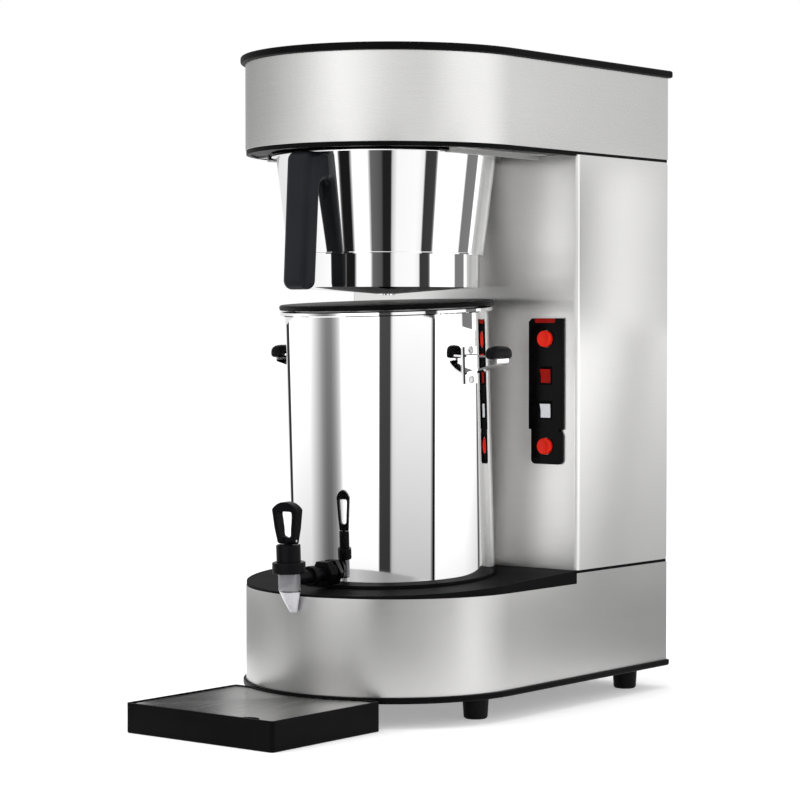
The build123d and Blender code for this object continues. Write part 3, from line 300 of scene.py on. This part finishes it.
def mouldedPlastic(name, tone, rough, grainSize=0.0006, depth=0.00002, coat=0.0, sheen=0.5):
    finish = Finish(name)
    look = mouldLook
    grain = finish.noise(finish.place, scale=1 / grainSize)
    patch = finish.noise(finish.place, scale=look["patchScale"], detail=look["patchDetail"])
    mixed = patch * (1 - look["grainShare"]) + grain * look["grainShare"]
    worn = tuple(min(channel * look["wornTimes"] + look["wornPlus"], 1) for channel in tone[:3]) + (1,)
    finish.set(
        Base_Color=finish.blendColour(finish.span(patch, 0.0, 1.0), tone, worn),
        Roughness=finish.span(mixed, rough - look["roughSpread"], rough + look["roughSpread"]),
        Normal=finish.bump(grain, look["bump"], depth),
        Coat_Weight=coat,
        Coat_Roughness=look["coatRoughness"],
        Specular_IOR_Level=sheen,
    )
    return finish.material


# The tap's spout: clear below the seam, and shaded above it by the black ring around

spoutLook = {
    "seam": 0.0185, "seamHalf": 0.0005, "flow": (300, 300, 40), "clear": (0.82, 0.81, 0.86, 1),
    "milky": (0.93, 0.92, 0.96, 1), "shaded": (0.26, 0.26, 0.28, 1), "line": (0.02, 0.02, 0.02, 1),
    "rough": (0.06, 0.16), "transmission": 0.15, "coat": 0.6, "coatRoughness": 0.05,
}


def smokePlastic(name):
    finish = Finish(name)
    look = spoutLook
    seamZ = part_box("tap_spout")[1].z - look["seam"]
    flow = finish.noise(finish.stretched(look["flow"]))
    height = finish.along("Z")
    line = (height > seamZ - look["seamHalf"]) * (height < seamZ + look["seamHalf"])
    clear = finish.blendColour(finish.span(flow, 0.0, 1.0), look["clear"], look["milky"])
    shaded = finish.blendColour(height > seamZ, clear, look["shaded"])
    finish.set(
        Base_Color=finish.blendColour(line, shaded, look["line"]),
        Roughness=finish.span(flow, *look["rough"]),
        Transmission_Weight=look["transmission"],
        IOR=1.5,
        Coat_Weight=look["coat"],
        Coat_Roughness=look["coatRoughness"],
    )
    return finish.material


# The water inlet's brass, with turning marks along its axis

brassLook = {
    "rings": (60, 1800, 60), "dark": (0.62, 0.42, 0.16, 1), "light": (0.78, 0.56, 0.25, 1),
    "rough": (0.22, 0.34), "bump": 0.2, "depth": 0.0001,
}


def turnedBrass(name):
    finish = Finish(name)
    look = brassLook
    rings = finish.noise(finish.stretched(look["rings"]))
    finish.set(
        Metallic=1.0,
        Base_Color=finish.blendColour(finish.span(rings, 0.0, 1.0), look["dark"], look["light"]),
        Roughness=finish.span(rings, *look["rough"]),
        Normal=finish.bump(rings, look["bump"], look["depth"]),
    )
    return finish.material


finishes = {
    # the base, the column and the head are one steel: their different tones are painted light and shade, the
    # column lighter, the base and the head darker
    "baseSteel": brushedSteel("baseSteel", 0.62, 0.34, levelGrain),
    "columnSteel": brushedSteel("columnSteel", 0.78, 0.34, levelGrain),
    "headSteel": brushedSteel("headSteel", 0.68, 0.28, levelGrain),
    "mirrorSteel": mirrorSteel("mirrorSteel", 0.93, 0.03),
    "traySteel": brushedSteel("traySteel", 0.50, 0.24, frontGrain),
    "plainSteel": brushedSteel("plainSteel", 0.55, 0.32, shortGrain),
    "blackTrim": mouldedPlastic("blackTrim", (0.0018, 0.0018, 0.002, 1), 0.38, sheen=0.04),
    "deckTrim": mouldedPlastic("deckTrim", (0.0035, 0.0035, 0.0037, 1), 0.62, 0.0008, 0.00004, sheen=0.04),
    "blackHandle": mouldedPlastic("blackHandle", (0.0085, 0.0095, 0.0125, 1), 0.42, 0.0009, 0.00004,
                                  sheen=0.12),
    "blackTap": mouldedPlastic("blackTap", (0.003, 0.0026, 0.0034, 1), 0.32, 0.0009, 0.00003, sheen=0.07),
    "blackGloss": mouldedPlastic("blackGloss", (0.0012, 0.0012, 0.0015, 1), 0.14, depth=0.000004, sheen=0.06),
    "smokePlastic": smokePlastic("smokePlastic"),
    "rubber": mouldedPlastic("rubber", (0.0045, 0.0045, 0.0045, 1), 0.55, 0.0005, 0.00004, sheen=0.1),
    "silicone": mouldedPlastic("silicone", (0.70, 0.69, 0.65, 1), 0.45),
    "redButton": mouldedPlastic("redButton", (0.78, 0.016, 0.004, 1), 0.24, depth=0.000006, coat=0.04,
                                sheen=0.15),
    "redRocker": mouldedPlastic("redRocker", (0.33, 0.006, 0.003, 1), 0.28, depth=0.000006, coat=0.02,
                                sheen=0.08),
    "whiteButton": mouldedPlastic("whiteButton", (0.86, 0.88, 0.93, 1), 0.24, depth=0.000006, coat=0.1),
    "brass": turnedBrass("brass"),
    "board": mouldedPlastic("board", (0.010, 0.13, 0.05, 1), 0.35),
}
print("finishes ready:", len(finishes))


# Each CAD node's finish, and the width of the small radius on its edges in metres

wear = {
    "plinth": ("blackTrim", 0.0004), "feet": ("rubber", 0), "foot_screws": ("plainSteel", 0),
    "base_wrap": ("baseSteel", 0.0004), "deck_cover": ("deckTrim", 0.0005),
    "column_shell": ("columnSteel", 0.0003), "rear_panel": ("columnSteel", 0.0003),
    "head_plate": ("blackTrim", 0.0003), "head_wrap": ("headSteel", 0.0004), "top_cover": ("blackTrim", 0),
    "funnel_rails": ("plainSteel", 0), "spray_head": ("plainSteel", 0), "tank_shelf": ("plainSteel", 0),
    "water_tank": ("plainSteel", 0), "tank_lid": ("plainSteel", 0), "tank_lid_screws": ("plainSteel", 0),
    "heating_element": ("plainSteel", 0), "level_probe": ("plainSteel", 0),
    "dry_boil_thermostat": ("blackGloss", 0), "spray_pipe": ("plainSteel", 0),
    "inlet_valve": ("brass", 0.0003), "valve_coil": ("blackGloss", 0), "fill_pipe": ("silicone", 0),
    "cable_gland": ("blackTrim", 0.0003), "electronics_plate": ("plainSteel", 0),
    "control_board": ("board", 0), "terminal_block": ("blackGloss", 0),
    "control_fascia": ("blackGloss", 0.0003), "switch_housings": ("blackTrim", 0.0002),
    "start_button": ("redButton", 0.0002), "stop_button": ("redButton", 0.0002),
    "red_rocker": ("redRocker", 0.0005), "white_rocker": ("whiteButton", 0.0005),
    "funnel_shell": ("mirrorSteel", 0), "funnel_sump": ("mirrorSteel", 0), "filter_screen": ("plainSteel", 0),
    "funnel_handle": ("blackHandle", 0), "funnel_handle_screws": ("plainSteel", 0),
    "urn_shell": ("mirrorSteel", 0), "urn_liner": ("plainSteel", 0), "urn_base_ring": ("rubber", 0.0004),
    "urn_lid": ("blackTrim", 0.0003), "lid_gasket": ("silicone", 0), "side_brackets": ("mirrorSteel", 0.0003),
    "tap_spout": ("smokePlastic", 0), "tap_shank": ("blackTap", 0.0003), "tap_nut": ("blackTap", 0.0004),
    "tap_washer": ("rubber", 0.0003), "tap_collar": ("blackTap", 0.0002), "tap_bonnet": ("blackTap", 0.0002),
    "tap_stem": ("plainSteel", 0), "seat_cup": ("silicone", 0), "tap_pin": ("plainSteel", 0),
    "tap_lever": ("blackTap", 0.0012), "drip_pan": ("blackTrim", 0.0006), "drip_plate": ("traySteel", 0.0003),
}
sealed = {  # never in view: the CAD node stays and takes its finish
    "tank_shelf", "water_tank", "tank_lid", "tank_lid_screws", "heating_element", "level_probe",
    "dry_boil_thermostat", "spray_pipe", "valve_coil", "fill_pipe", "electronics_plate", "control_board",
    "terminal_block", "foot_screws", "filter_screen", "urn_liner", "lid_gasket", "tap_stem", "seat_cup",
}


def dressed(name, finish, edge):
    # a merged and smoothed copy of the node, with its small edge radius
    mesh = nodes[name].data.copy()
    mesh.name = name + "Skin"
    work = opened(mesh)
    bmesh.ops.dissolve_limit(work, angle_limit=math.radians(skin["flat"]), verts=work.verts, edges=work.edges)
    closed(work, mesh, skin["crease"])
    piece = linked(name + "Skin", mesh)
    mesh.materials.clear()
    mesh.materials.append(finish)
    if edge:
        bevel = piece.modifiers.new("edge", "BEVEL")
        bevel.width = edge
        bevel.segments = skin["bevelSteps"]
        bevel.limit_method = "ANGLE"
        bevel.angle_limit = math.radians(skin["crease"])
        bevel.harden_normals = True
    standsFor(piece, name)


def paint(name, finish):
    node = nodes[name]
    node.data.materials.clear()
    node.data.materials.append(finish)


for name, (finishName, edge) in wear.items():
    if name in sealed:
        paint(name, finishes[finishName])
    else:
        dressed(name, finishes[finishName], edge)
print("nodes dressed:", len(wear))


# Screws, rivets and louvres, made by Geometry Nodes

class Maker(NodeTree):
    def __init__(self, name, inputs):
        super().__init__(bpy.data.node_groups.new(name, "GeometryNodeTree"))
        self.inputs = {"Geometry": self.open("Geometry", "Geometry", "INPUT")}
        for label, kind in inputs.items():
            self.inputs[label] = self.open(label, kind, "INPUT")
        self.open("Geometry", "Geometry", "OUTPUT")
        self.entry = self.tree.nodes.new("NodeGroupInput")
        self.exit = self.tree.nodes.new("NodeGroupOutput")

    def open(self, label, kind, side):
        return self.tree.interface.new_socket(label, in_out=side, socket_type="NodeSocket" + kind)

    def given(self, label):
        return Wire(self, self.entry.outputs[label])

    def vector(self, x, y, z):
        return self.node("ShaderNodeCombineXYZ", values={0: x, 1: y, 2: z})

    def moved(self, shape, offset=(0, 0, 0), scale=(1, 1, 1), turn=(0, 0, 0)):
        values = {"Geometry": shape, "Translation": offset, "Rotation": turn, "Scale": scale}
        return self.node("GeometryNodeTransform", values=values)

    def joined(self, operation, values):
        return self.node("GeometryNodeMeshBoolean", {"operation": operation}, values)

    def close(self, instances):
        real = self.node("GeometryNodeRealizeInstances", values={"Geometry": instances})
        values = {"Geometry": real, "Material": self.given("Finish")}
        self.feed(self.exit.inputs[0], self.node("GeometryNodeSetMaterial", values=values))
        return self

    def run(self, name, mesh, values):
        # the tree's result on a mesh, as a plain mesh
        carrier = linked(name + "Carrier", mesh)
        made = carrier.modifiers.new("maker", "NODES")
        made.node_group = self.tree
        for label, value in values.items():
            made[self.inputs[label].identifier] = value
        bpy.context.view_layer.update()
        result = bpy.data.meshes.new_from_object(carrier.evaluated_get(bpy.context.evaluated_depsgraph_get()))
        result.name = name
        carrier.modifiers.remove(made)
        bpy.data.objects.remove(carrier)
        return linked(name, result)


def islands(name):
    # lowest and highest corner of each loose part of a node, sorted so that each run takes them in one order
    work = opened(nodes[name].data)
    left = set(work.verts)
    found = []
    while left:
        group = [left.pop()]
        for vert in group:
            for line in vert.link_edges:
                other = line.other_vert(vert)
                if other in left:
                    left.remove(other)
                    group.append(other)
        spots = [vert.co.copy() for vert in group]
        low = Vector(min(spot[axis] for spot in spots) for axis in range(3))
        high = Vector(max(spot[axis] for spot in spots) for axis in range(3))
        found.append((low, high))
    work.free()
    return sorted(found, key=lambda corners: [round(value, 4) for value in corners[0]])


# The rear panel's screws and the brackets' rivets

headShape = {"sides": 28, "rings": 18, "domeWide": 1.12, "slitLong": 1.15, "slitUp": 1.05}
panelScrews = {
    "node": "rear_panel_screws", "axis": 1, "radius": 0.0042, "height": 0.0024, "recess": 0.0011,
    "driven": True, "seed": 4,
}
wallRivets = {
    "node": "bracket_rivets", "axis": 0, "radius": 0.0038, "height": 0.0012, "recess": 0.001,
    "driven": False, "seed": 2,
}


def fastenerTree(shape):
    # a domed head on each point, turned to the point's facing, with a cross recess where it is driven
    maker = Maker("fastenerHeads", {
        "Radius": "Float", "Height": "Float", "Recess": "Float", "Driven": "Bool", "Seed": "Int",
        "Finish": "Material",
    })
    radius = maker.given("Radius")
    height = maker.given("Height")
    wall = maker.node("GeometryNodeMeshCylinder", values={
        "Vertices": shape["sides"], "Radius": radius, "Depth": height})
    wall = maker.moved(wall, offset=maker.vector(0.0, 0.0, height * 0.5))
    dome = maker.node("GeometryNodeMeshUVSphere", values={
        "Segments": shape["sides"], "Rings": shape["rings"], "Radius": 1.0})
    domeRadius = radius * shape["domeWide"]
    dome = maker.moved(dome, scale=maker.vector(domeRadius, domeRadius, height))
    head = maker.joined("INTERSECT", {1: [wall, dome]})
    slit = maker.node("GeometryNodeMeshCube", values={
        "Size": maker.vector(radius * shape["slitLong"], maker.given("Recess"), height)})
    cross = maker.joined("UNION", {1: [slit, maker.moved(slit, turn=(0, 0, math.pi / 2))]})
    cross = maker.moved(cross, offset=maker.vector(0.0, 0.0, height * shape["slitUp"]))
    driven = maker.joined("DIFFERENCE", {0: head, 1: cross})
    chosen = maker.node("GeometryNodeSwitch", {"input_type": "GEOMETRY"}, {
        "Switch": maker.given("Driven"), "False": head, "True": driven})
    facing = maker.node("GeometryNodeInputNamedAttribute", {"data_type": "FLOAT_VECTOR"}, {"Name": "facing"})
    aligned = maker.node("FunctionNodeAlignRotationToVector", {"axis": "Z"}, {"Vector": facing})
    spin = maker.node("FunctionNodeRandomValue", {"data_type": "FLOAT"}, {
        2: 0.0, 3: math.tau, "Seed": maker.given("Seed")}, out=1)
    twist = maker.node("FunctionNodeAxisAngleToRotation", values={"Axis": (0, 0, 1), "Angle": spin})
    turned = maker.node("FunctionNodeRotateRotation", {"rotation_space": "LOCAL"}, {0: aligned, 1: twist})
    values = {"Points": maker.given("Geometry"), "Instance": chosen, "Rotation": turned}
    return maker.close(maker.node("GeometryNodeInstanceOnPoints", values=values))


def headPlaces(setup):
    # under each head, on the side that faces away from the middle
    places = []
    axis = setup["axis"]
    for low, high in islands(setup["node"]):
        place = (low + high) / 2
        sign = 1 if place[axis] > 0 else -1
        place[axis] = (high if sign > 0 else low)[axis] - sign * setup["height"]
        facing = Vector((0, 0, 0))
        facing[axis] = sign
        places.append((place, facing))
    return places


def pointMesh(name, places):
    # one vertex for each (place, facing) pair
    mesh = bpy.data.meshes.new(name)
    mesh.from_pydata([place for place, facing in places], [], [])
    directions = mesh.attributes.new("facing", "FLOAT_VECTOR", "POINT")
    for index, (place, facing) in enumerate(places):
        directions.data[index].vector = facing
    return mesh


def makeHeads(name, setup):
    piece = fastener.run(name, pointMesh(name + "Places", headPlaces(setup)), {
        "Radius": setup["radius"], "Height": setup["height"], "Recess": setup["recess"],
        "Driven": setup["driven"], "Seed": setup["seed"], "Finish": finishes["plainSteel"],
    })
    smoothed(piece, skin["crease"])
    standsFor(piece, setup["node"])


fastener = fastenerTree(headShape)
makeHeads("panelScrewHeads", panelScrews)
makeHeads("wallRivetHeads", wallRivets)
print("screws and rivets made")


# The pressed hoods over the rear panel's louvre slots

louvres = {
    "columns": 2, "rows": 8, "across": 0.1152, "pitch": 0.013, "length": 0.097, "rise": 0.0060,
    "reach": 0.0046, "gauge": 0.0008, "top": 0.0380, "drop": 0.0025, "sunk": 0.0001, "stepsAlong": 33,
    "stepsOver": 8, "weld": 0.00002, "crease": 60.0,
}


def louvreTree(setup):
    # a pressed hood, like an eyelid, repeated over a grid in the plane of the panel
    maker = Maker("louvreHoods", {
        "Columns": "Int", "Rows": "Int", "Across": "Float", "Pitch": "Float", "Length": "Float",
        "Rise": "Float", "Reach": "Float", "Finish": "Material",
    })
    sheet = maker.node("GeometryNodeMeshGrid", values={
        "Size X": 2.0, "Size Y": 1.0, "Vertices X": setup["stepsAlong"], "Vertices Y": setup["stepsOver"]})
    spot = maker.node("GeometryNodeInputPosition")
    along = maker.node("ShaderNodeSeparateXYZ", values={0: spot}, out=0)
    over = maker.node("ShaderNodeSeparateXYZ", values={0: spot}, out=1) + 0.5
    square = along * along
    full = maker.maths("SQRT", maker.maths("MAXIMUM", 1.0 - square * square, 0.0))
    bend = over * (math.pi / 2)
    lift = maker.maths("COSINE", bend) * full * maker.given("Rise")
    out = maker.maths("SINE", bend) * full * maker.given("Reach")
    shape = maker.vector(along * (maker.given("Length") * 0.5), out, lift)
    hood = maker.node("GeometryNodeSetPosition", values={"Geometry": sheet, "Position": shape})
    hood = maker.node("GeometryNodeMergeByDistance", values={"Geometry": hood, "Distance": setup["weld"]})
    wide = maker.given("Across") * (maker.given("Columns") - 1.0)
    tall = maker.given("Pitch") * (maker.given("Rows") - 1.0)
    grid = maker.node("GeometryNodeMeshGrid", values={
        "Size X": wide, "Size Y": tall,
        "Vertices X": maker.given("Columns"), "Vertices Y": maker.given("Rows")})
    grid = maker.moved(grid, turn=(math.pi / 2, 0, 0))
    return maker.close(maker.node("GeometryNodeInstanceOnPoints", values={"Points": grid, "Instance": hood}))


def makeLouvres(setup):
    low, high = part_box("rear_panel")
    seed = bpy.data.meshes.new("louvreSeed")
    piece = louvreTree(setup).run("louvreHoods", seed, {
        "Columns": setup["columns"], "Rows": setup["rows"], "Across": setup["across"],
        "Pitch": setup["pitch"], "Length": setup["length"], "Rise": setup["rise"], "Reach": setup["reach"],
        "Finish": finishes["columnSteel"],
    })
    middle = high.z - setup["top"] - setup["pitch"] * (setup["rows"] - 1) / 2 - setup["drop"]
    piece.data.transform(Matrix.Translation((0, high.y - setup["sunk"], middle)))
    smoothed(piece, setup["crease"])
    wall = piece.modifiers.new("gauge", "SOLIDIFY")
    wall.thickness = setup["gauge"]
    wall.offset = -1.0
    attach(piece, bodyOf["rear_panel"])


makeLouvres(louvres)
print("louvres made")


# The two side grips: rounded bars, fuller in the middle, that droop at their ends

sideGrips = {
    "node": "side_grips", "turns": 36, "steps": 40, "ends": 3.4, "girth": 2.6, "droop": 0.55, "waist": 0.10,
    "crease": 50.0,
}


def makeGrips(setup):
    points = []
    faces = []
    count = setup["turns"]
    power = 2 / setup["girth"]
    for low, high in islands(setup["node"]):
        middle = (low + high) / 2
        half = (high - low) / 2
        first = len(points)
        for step in range(setup["steps"] + 1):
            t = math.sin(math.pi * (step / setup["steps"] - 0.5))
            full = (1 - abs(t) ** setup["ends"]) ** (1 / setup["ends"])
            sag = half.z * (1 - full) * setup["droop"]
            for index in range(count):
                turn = math.tau * index / count
                x = math.copysign(abs(math.cos(turn)) ** power, math.cos(turn)) * half.x * full
                z = math.copysign(abs(math.sin(turn)) ** power, math.sin(turn)) * half.z * full
                if z < 0:
                    z *= 1 - setup["waist"] * (1 - t * t)
                points.append((middle.x + x, middle.y + t * half.y, middle.z + z - sag))
        for step in range(setup["steps"]):
            for index in range(count):
                a = first + step * count + index
                b = first + step * count + (index + 1) % count
                faces.append((a, b, b + count, a + count))
    mesh = bpy.data.meshes.new("sideGripBars")
    mesh.from_pydata(points, [], faces)
    piece = linked("sideGripBars", mesh)
    smoothed(piece, setup["crease"])
    mesh.materials.append(finishes["blackTap"])
    standsFor(piece, setup["node"])


makeGrips(sideGrips)
print("grips made")


# The plain red bar over the start button

redBar = {
    "width": 0.0254, "height": 0.0046, "rise": 0.0188, "shift": -0.0008, "proud": 0.0005, "round": 0.0009,
    "roundSteps": 4, "soft": 0.0002, "softSteps": 2,
}


def makeRedBar(setup):
    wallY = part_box("control_fascia")[0].y
    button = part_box("start_button")
    middle = (button[0] + button[1]) / 2
    work = bmesh.new()
    bmesh.ops.create_cube(work, size=1.0)
    size = (setup["width"], setup["proud"] * 2, setup["height"])
    place = Vector((middle.x + setup["shift"], wallY, middle.z + setup["rise"]))
    stretch = Matrix.Translation(place) @ Matrix.Diagonal((*size, 1))
    bmesh.ops.transform(work, matrix=stretch, verts=work.verts)
    corners = [line for line in work.edges if abs(line.verts[0].co.y - line.verts[1].co.y) > setup["proud"]]
    bmesh.ops.bevel(work, geom=corners, offset=setup["round"], segments=setup["roundSteps"], affect="EDGES")
    front = [line for line in work.edges if all(vert.co.y < wallY for vert in line.verts)]
    bmesh.ops.bevel(work, geom=front, offset=setup["soft"], segments=setup["softSteps"], affect="EDGES")
    mesh = bpy.data.meshes.new("redBar")
    work.to_mesh(mesh)
    work.free()
    piece = linked("redBar", mesh)
    mesh.materials.append(finishes["redRocker"])
    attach(piece, bodyOf["control_fascia"])


makeRedBar(redBar)
print("red bar made")


# Studio

studio = {"floorTone": 0.86, "floorGlow": 0.34, "floorReach": 14.0, "floorGap": 0.0002, "worldTone": 0.80}
lamps = {
    "keyLamp": {"power": 30.0, "size": (1.6, 1.6), "place": (-1.8, -1.6, 1.6)},
    "fillLamp": {"power": 9.0, "size": (1.4, 1.8), "place": (2.4, -0.2, 1.0)},
    "topLamp": {"power": 14.0, "size": (1.6, 1.6), "place": (0, 0, 2.4)},
}
lampAim = (0, 0, 0.33)


def stagePiece(name, points, faces, material):
    mesh = bpy.data.meshes.new(name)
    mesh.from_pydata(points, [], faces)
    made = linked(name, mesh)
    mesh.materials.append(material)
    return made


def plainPaint(name, tone):
    finish = Finish(name)
    finish.set(Base_Color=colour(tone), Roughness=0.9, Specular_IOR_Level=0.0)
    return finish


def glow(finish, strength):
    # adds light that only the camera, and the mirrors that see the stage, take from this surface
    seen = (finish.node("ShaderNodeLightPath", out="Is Camera Ray")
            + finish.node("ShaderNodeLightPath", out="Is Glossy Ray"))
    emit = finish.node("ShaderNodeEmission", values={"Color": colour(1.0), "Strength": seen * strength})
    both = finish.node("ShaderNodeAddShader", values={0: Wire(finish, finish.shader.outputs[0]), 1: emit})
    finish.feed(finish.tree.nodes["Material Output"].inputs["Surface"], both)


def makeFloor():
    finish = plainPaint("paleFloor", studio["floorTone"])
    glow(finish, studio["floorGlow"])
    reach = studio["floorReach"]
    low = cadBox[0][2] - studio["floorGap"]
    corners = ((-reach, -reach, low), (reach, -reach, low), (reach, reach, low), (-reach, reach, low))
    stagePiece("floor", corners, [(0, 1, 2, 3)], finish.material)


# Upright reflectors stand round the brewer, one ring over the other, and only reflections show them.
# Each has its level from z to z, and its stripes: the angle from the front towards +X, in degrees, and
# how bright. Stripes lean by degrees for each metre of height, and fade as they rise.

ringShape = {"radius": 0.45, "middle": (0.0, -0.0066), "power": 2.0, "sides": 240}
rings = {
    "ringBase": {
        "level": (0.0, 0.088), "lean": 0.0, "fade": 0.0,
        "stripes": ((-180, 0.48), (-100, 0.39), (-70, 0.36), (-45, 0.52), (-25, 0.38), (0, 0.60), (30, 0.33),
                    (55, 0.39), (78, 0.85), (92, 1.4), (104, 0.96), (125, 0.43), (180, 0.43)),
    },
    "ringUrn": {
        "level": (0.088, 0.388), "lean": 22.0, "fade": 1.6,
        "stripes": ((-180, 1.0), (-113, 1.0), (-112, 0.04), (-98, 0.04), (-97, 1.5), (-54, 1.4), (-45, 0.92),
                    (-39, 0.62), (-33.4, 0.35), (-28, 0.23), (-22.6, 0.24), (-17.5, 0.44), (-13, 0.83),
                    (-8, 2.0), (27.2, 2.0), (27.8, 0.07), (39.0, 0.064), (39.6, 0.98), (44, 1.10),
                    (79.8, 1.10), (80.4, 0.0), (83.4, 0.0), (84.0, 2.0), (120, 1.8), (140.6, 1.35),
                    (141.4, 0.10), (144.4, 0.10), (145.2, 1.10), (155, 0.92), (180, 0.9)),
    },
    "ringFunnel": {
        "level": (0.388, 0.565), "lean": 0.0, "fade": 0.0,
        "stripes": ((-180, 0.8), (-90, 0.85), (-40, 1.0), (-7.0, 1.15), (-5.5, 0.01), (5.0, 0.01),
                    (6.5, 1.15), (22, 1.15), (23, 0.15), (33.6, 0.09), (34.4, 0.015), (42.4, 0.015),
                    (43.6, 0.62), (48, 1.02), (68, 1.05), (73.5, 0.92), (74.3, 0.04), (85.6, 0.05),
                    (86.6, 1.25), (120.6, 1.25), (121.8, 0.20), (138.0, 0.22), (139.5, 1.6),
                    (145, 1.15), (152, 0.68), (180, 0.75)),
    },
    "ringHead": {
        "level": (0.565, 1.1), "lean": 0.0, "fade": 0.0,
        "stripes": ((-180, 0.7), (-92, 0.42), (-55, 0.57), (-25, 0.86), (4, 1.45), (20, 1.26), (40, 0.98),
                    (60, 0.90), (80, 1.30), (104, 1.36), (124, 0.95), (150, 0.74), (180, 0.7)),
    },
}


def makeRing(name, setup, shape):
    finish = plainPaint(name, 0.0)
    middleX, middleY = shape["middle"]
    angle = finish.maths("ARCTAN2", finish.along("X") - middleX, (finish.along("Y") - middleY) * -1.0)
    angle = angle * math.degrees(1.0)
    middleZ = sum(setup["level"]) / 2
    share = (angle - (finish.along("Z") - middleZ) * setup["lean"] + 180.0) * (1 / 360.0)
    stops = [((turn + 180) / 360, colour(tone / shape["power"])) for turn, tone in setup["stripes"]]
    lit = finish.node("ShaderNodeValToRGB", {"stops": stops}, {0: share})
    drop = finish.along("Z") * -1.0 + setup["level"][1]
    lit = finish.blendColour(drop * setup["fade"], lit, colour(0.0))
    finish.set(Emission_Color=lit, Emission_Strength=shape["power"])
    count = shape["sides"]
    points = []
    for z in setup["level"]:
        for index in range(count):
            turn = math.tau * index / count
            x = middleX + shape["radius"] * math.sin(turn)
            y = middleY - shape["radius"] * math.cos(turn)
            points.append((x, y, z))
    faces = [(k, (k + 1) % count, count + (k + 1) % count, count + k) for k in range(count)]
    made = stagePiece(name, points, faces, finish.material)
    made.visible_camera = False
    made.visible_diffuse = False
    made.visible_shadow = False
    made.visible_transmission = False


def makeLamp(name, setup):
    data = bpy.data.lights.new(name, "AREA")
    data.energy = setup["power"]
    data.shape = "RECTANGLE"
    data.size, data.size_y = setup["size"]
    made = linked(name, data)
    made.location = setup["place"]
    made.rotation_euler = (Vector(lampAim) - Vector(setup["place"])).to_track_quat("-Z", "Y").to_euler()
    made.visible_glossy = False


def makeWorld():
    world = bpy.data.worlds.new("studioWorld")
    bpy.context.scene.world = world
    world.use_nodes = True
    sky = NodeTree(world.node_tree)
    seen = sky.node("ShaderNodeLightPath", out="Is Camera Ray")
    values = {"Value": seen, "To Min": studio["worldTone"], "To Max": 1.0}
    level = sky.node("ShaderNodeMapRange", values=values)
    back = sky.tree.nodes["Background"]
    sky.feed(back.inputs["Color"], colour(1.0))
    sky.feed(back.inputs["Strength"], level)


makeWorld()
makeFloor()
for name, setup in rings.items():
    makeRing(name, setup, ringShape)
for name, setup in lamps.items():
    makeLamp(name, setup)
print("studio ready")
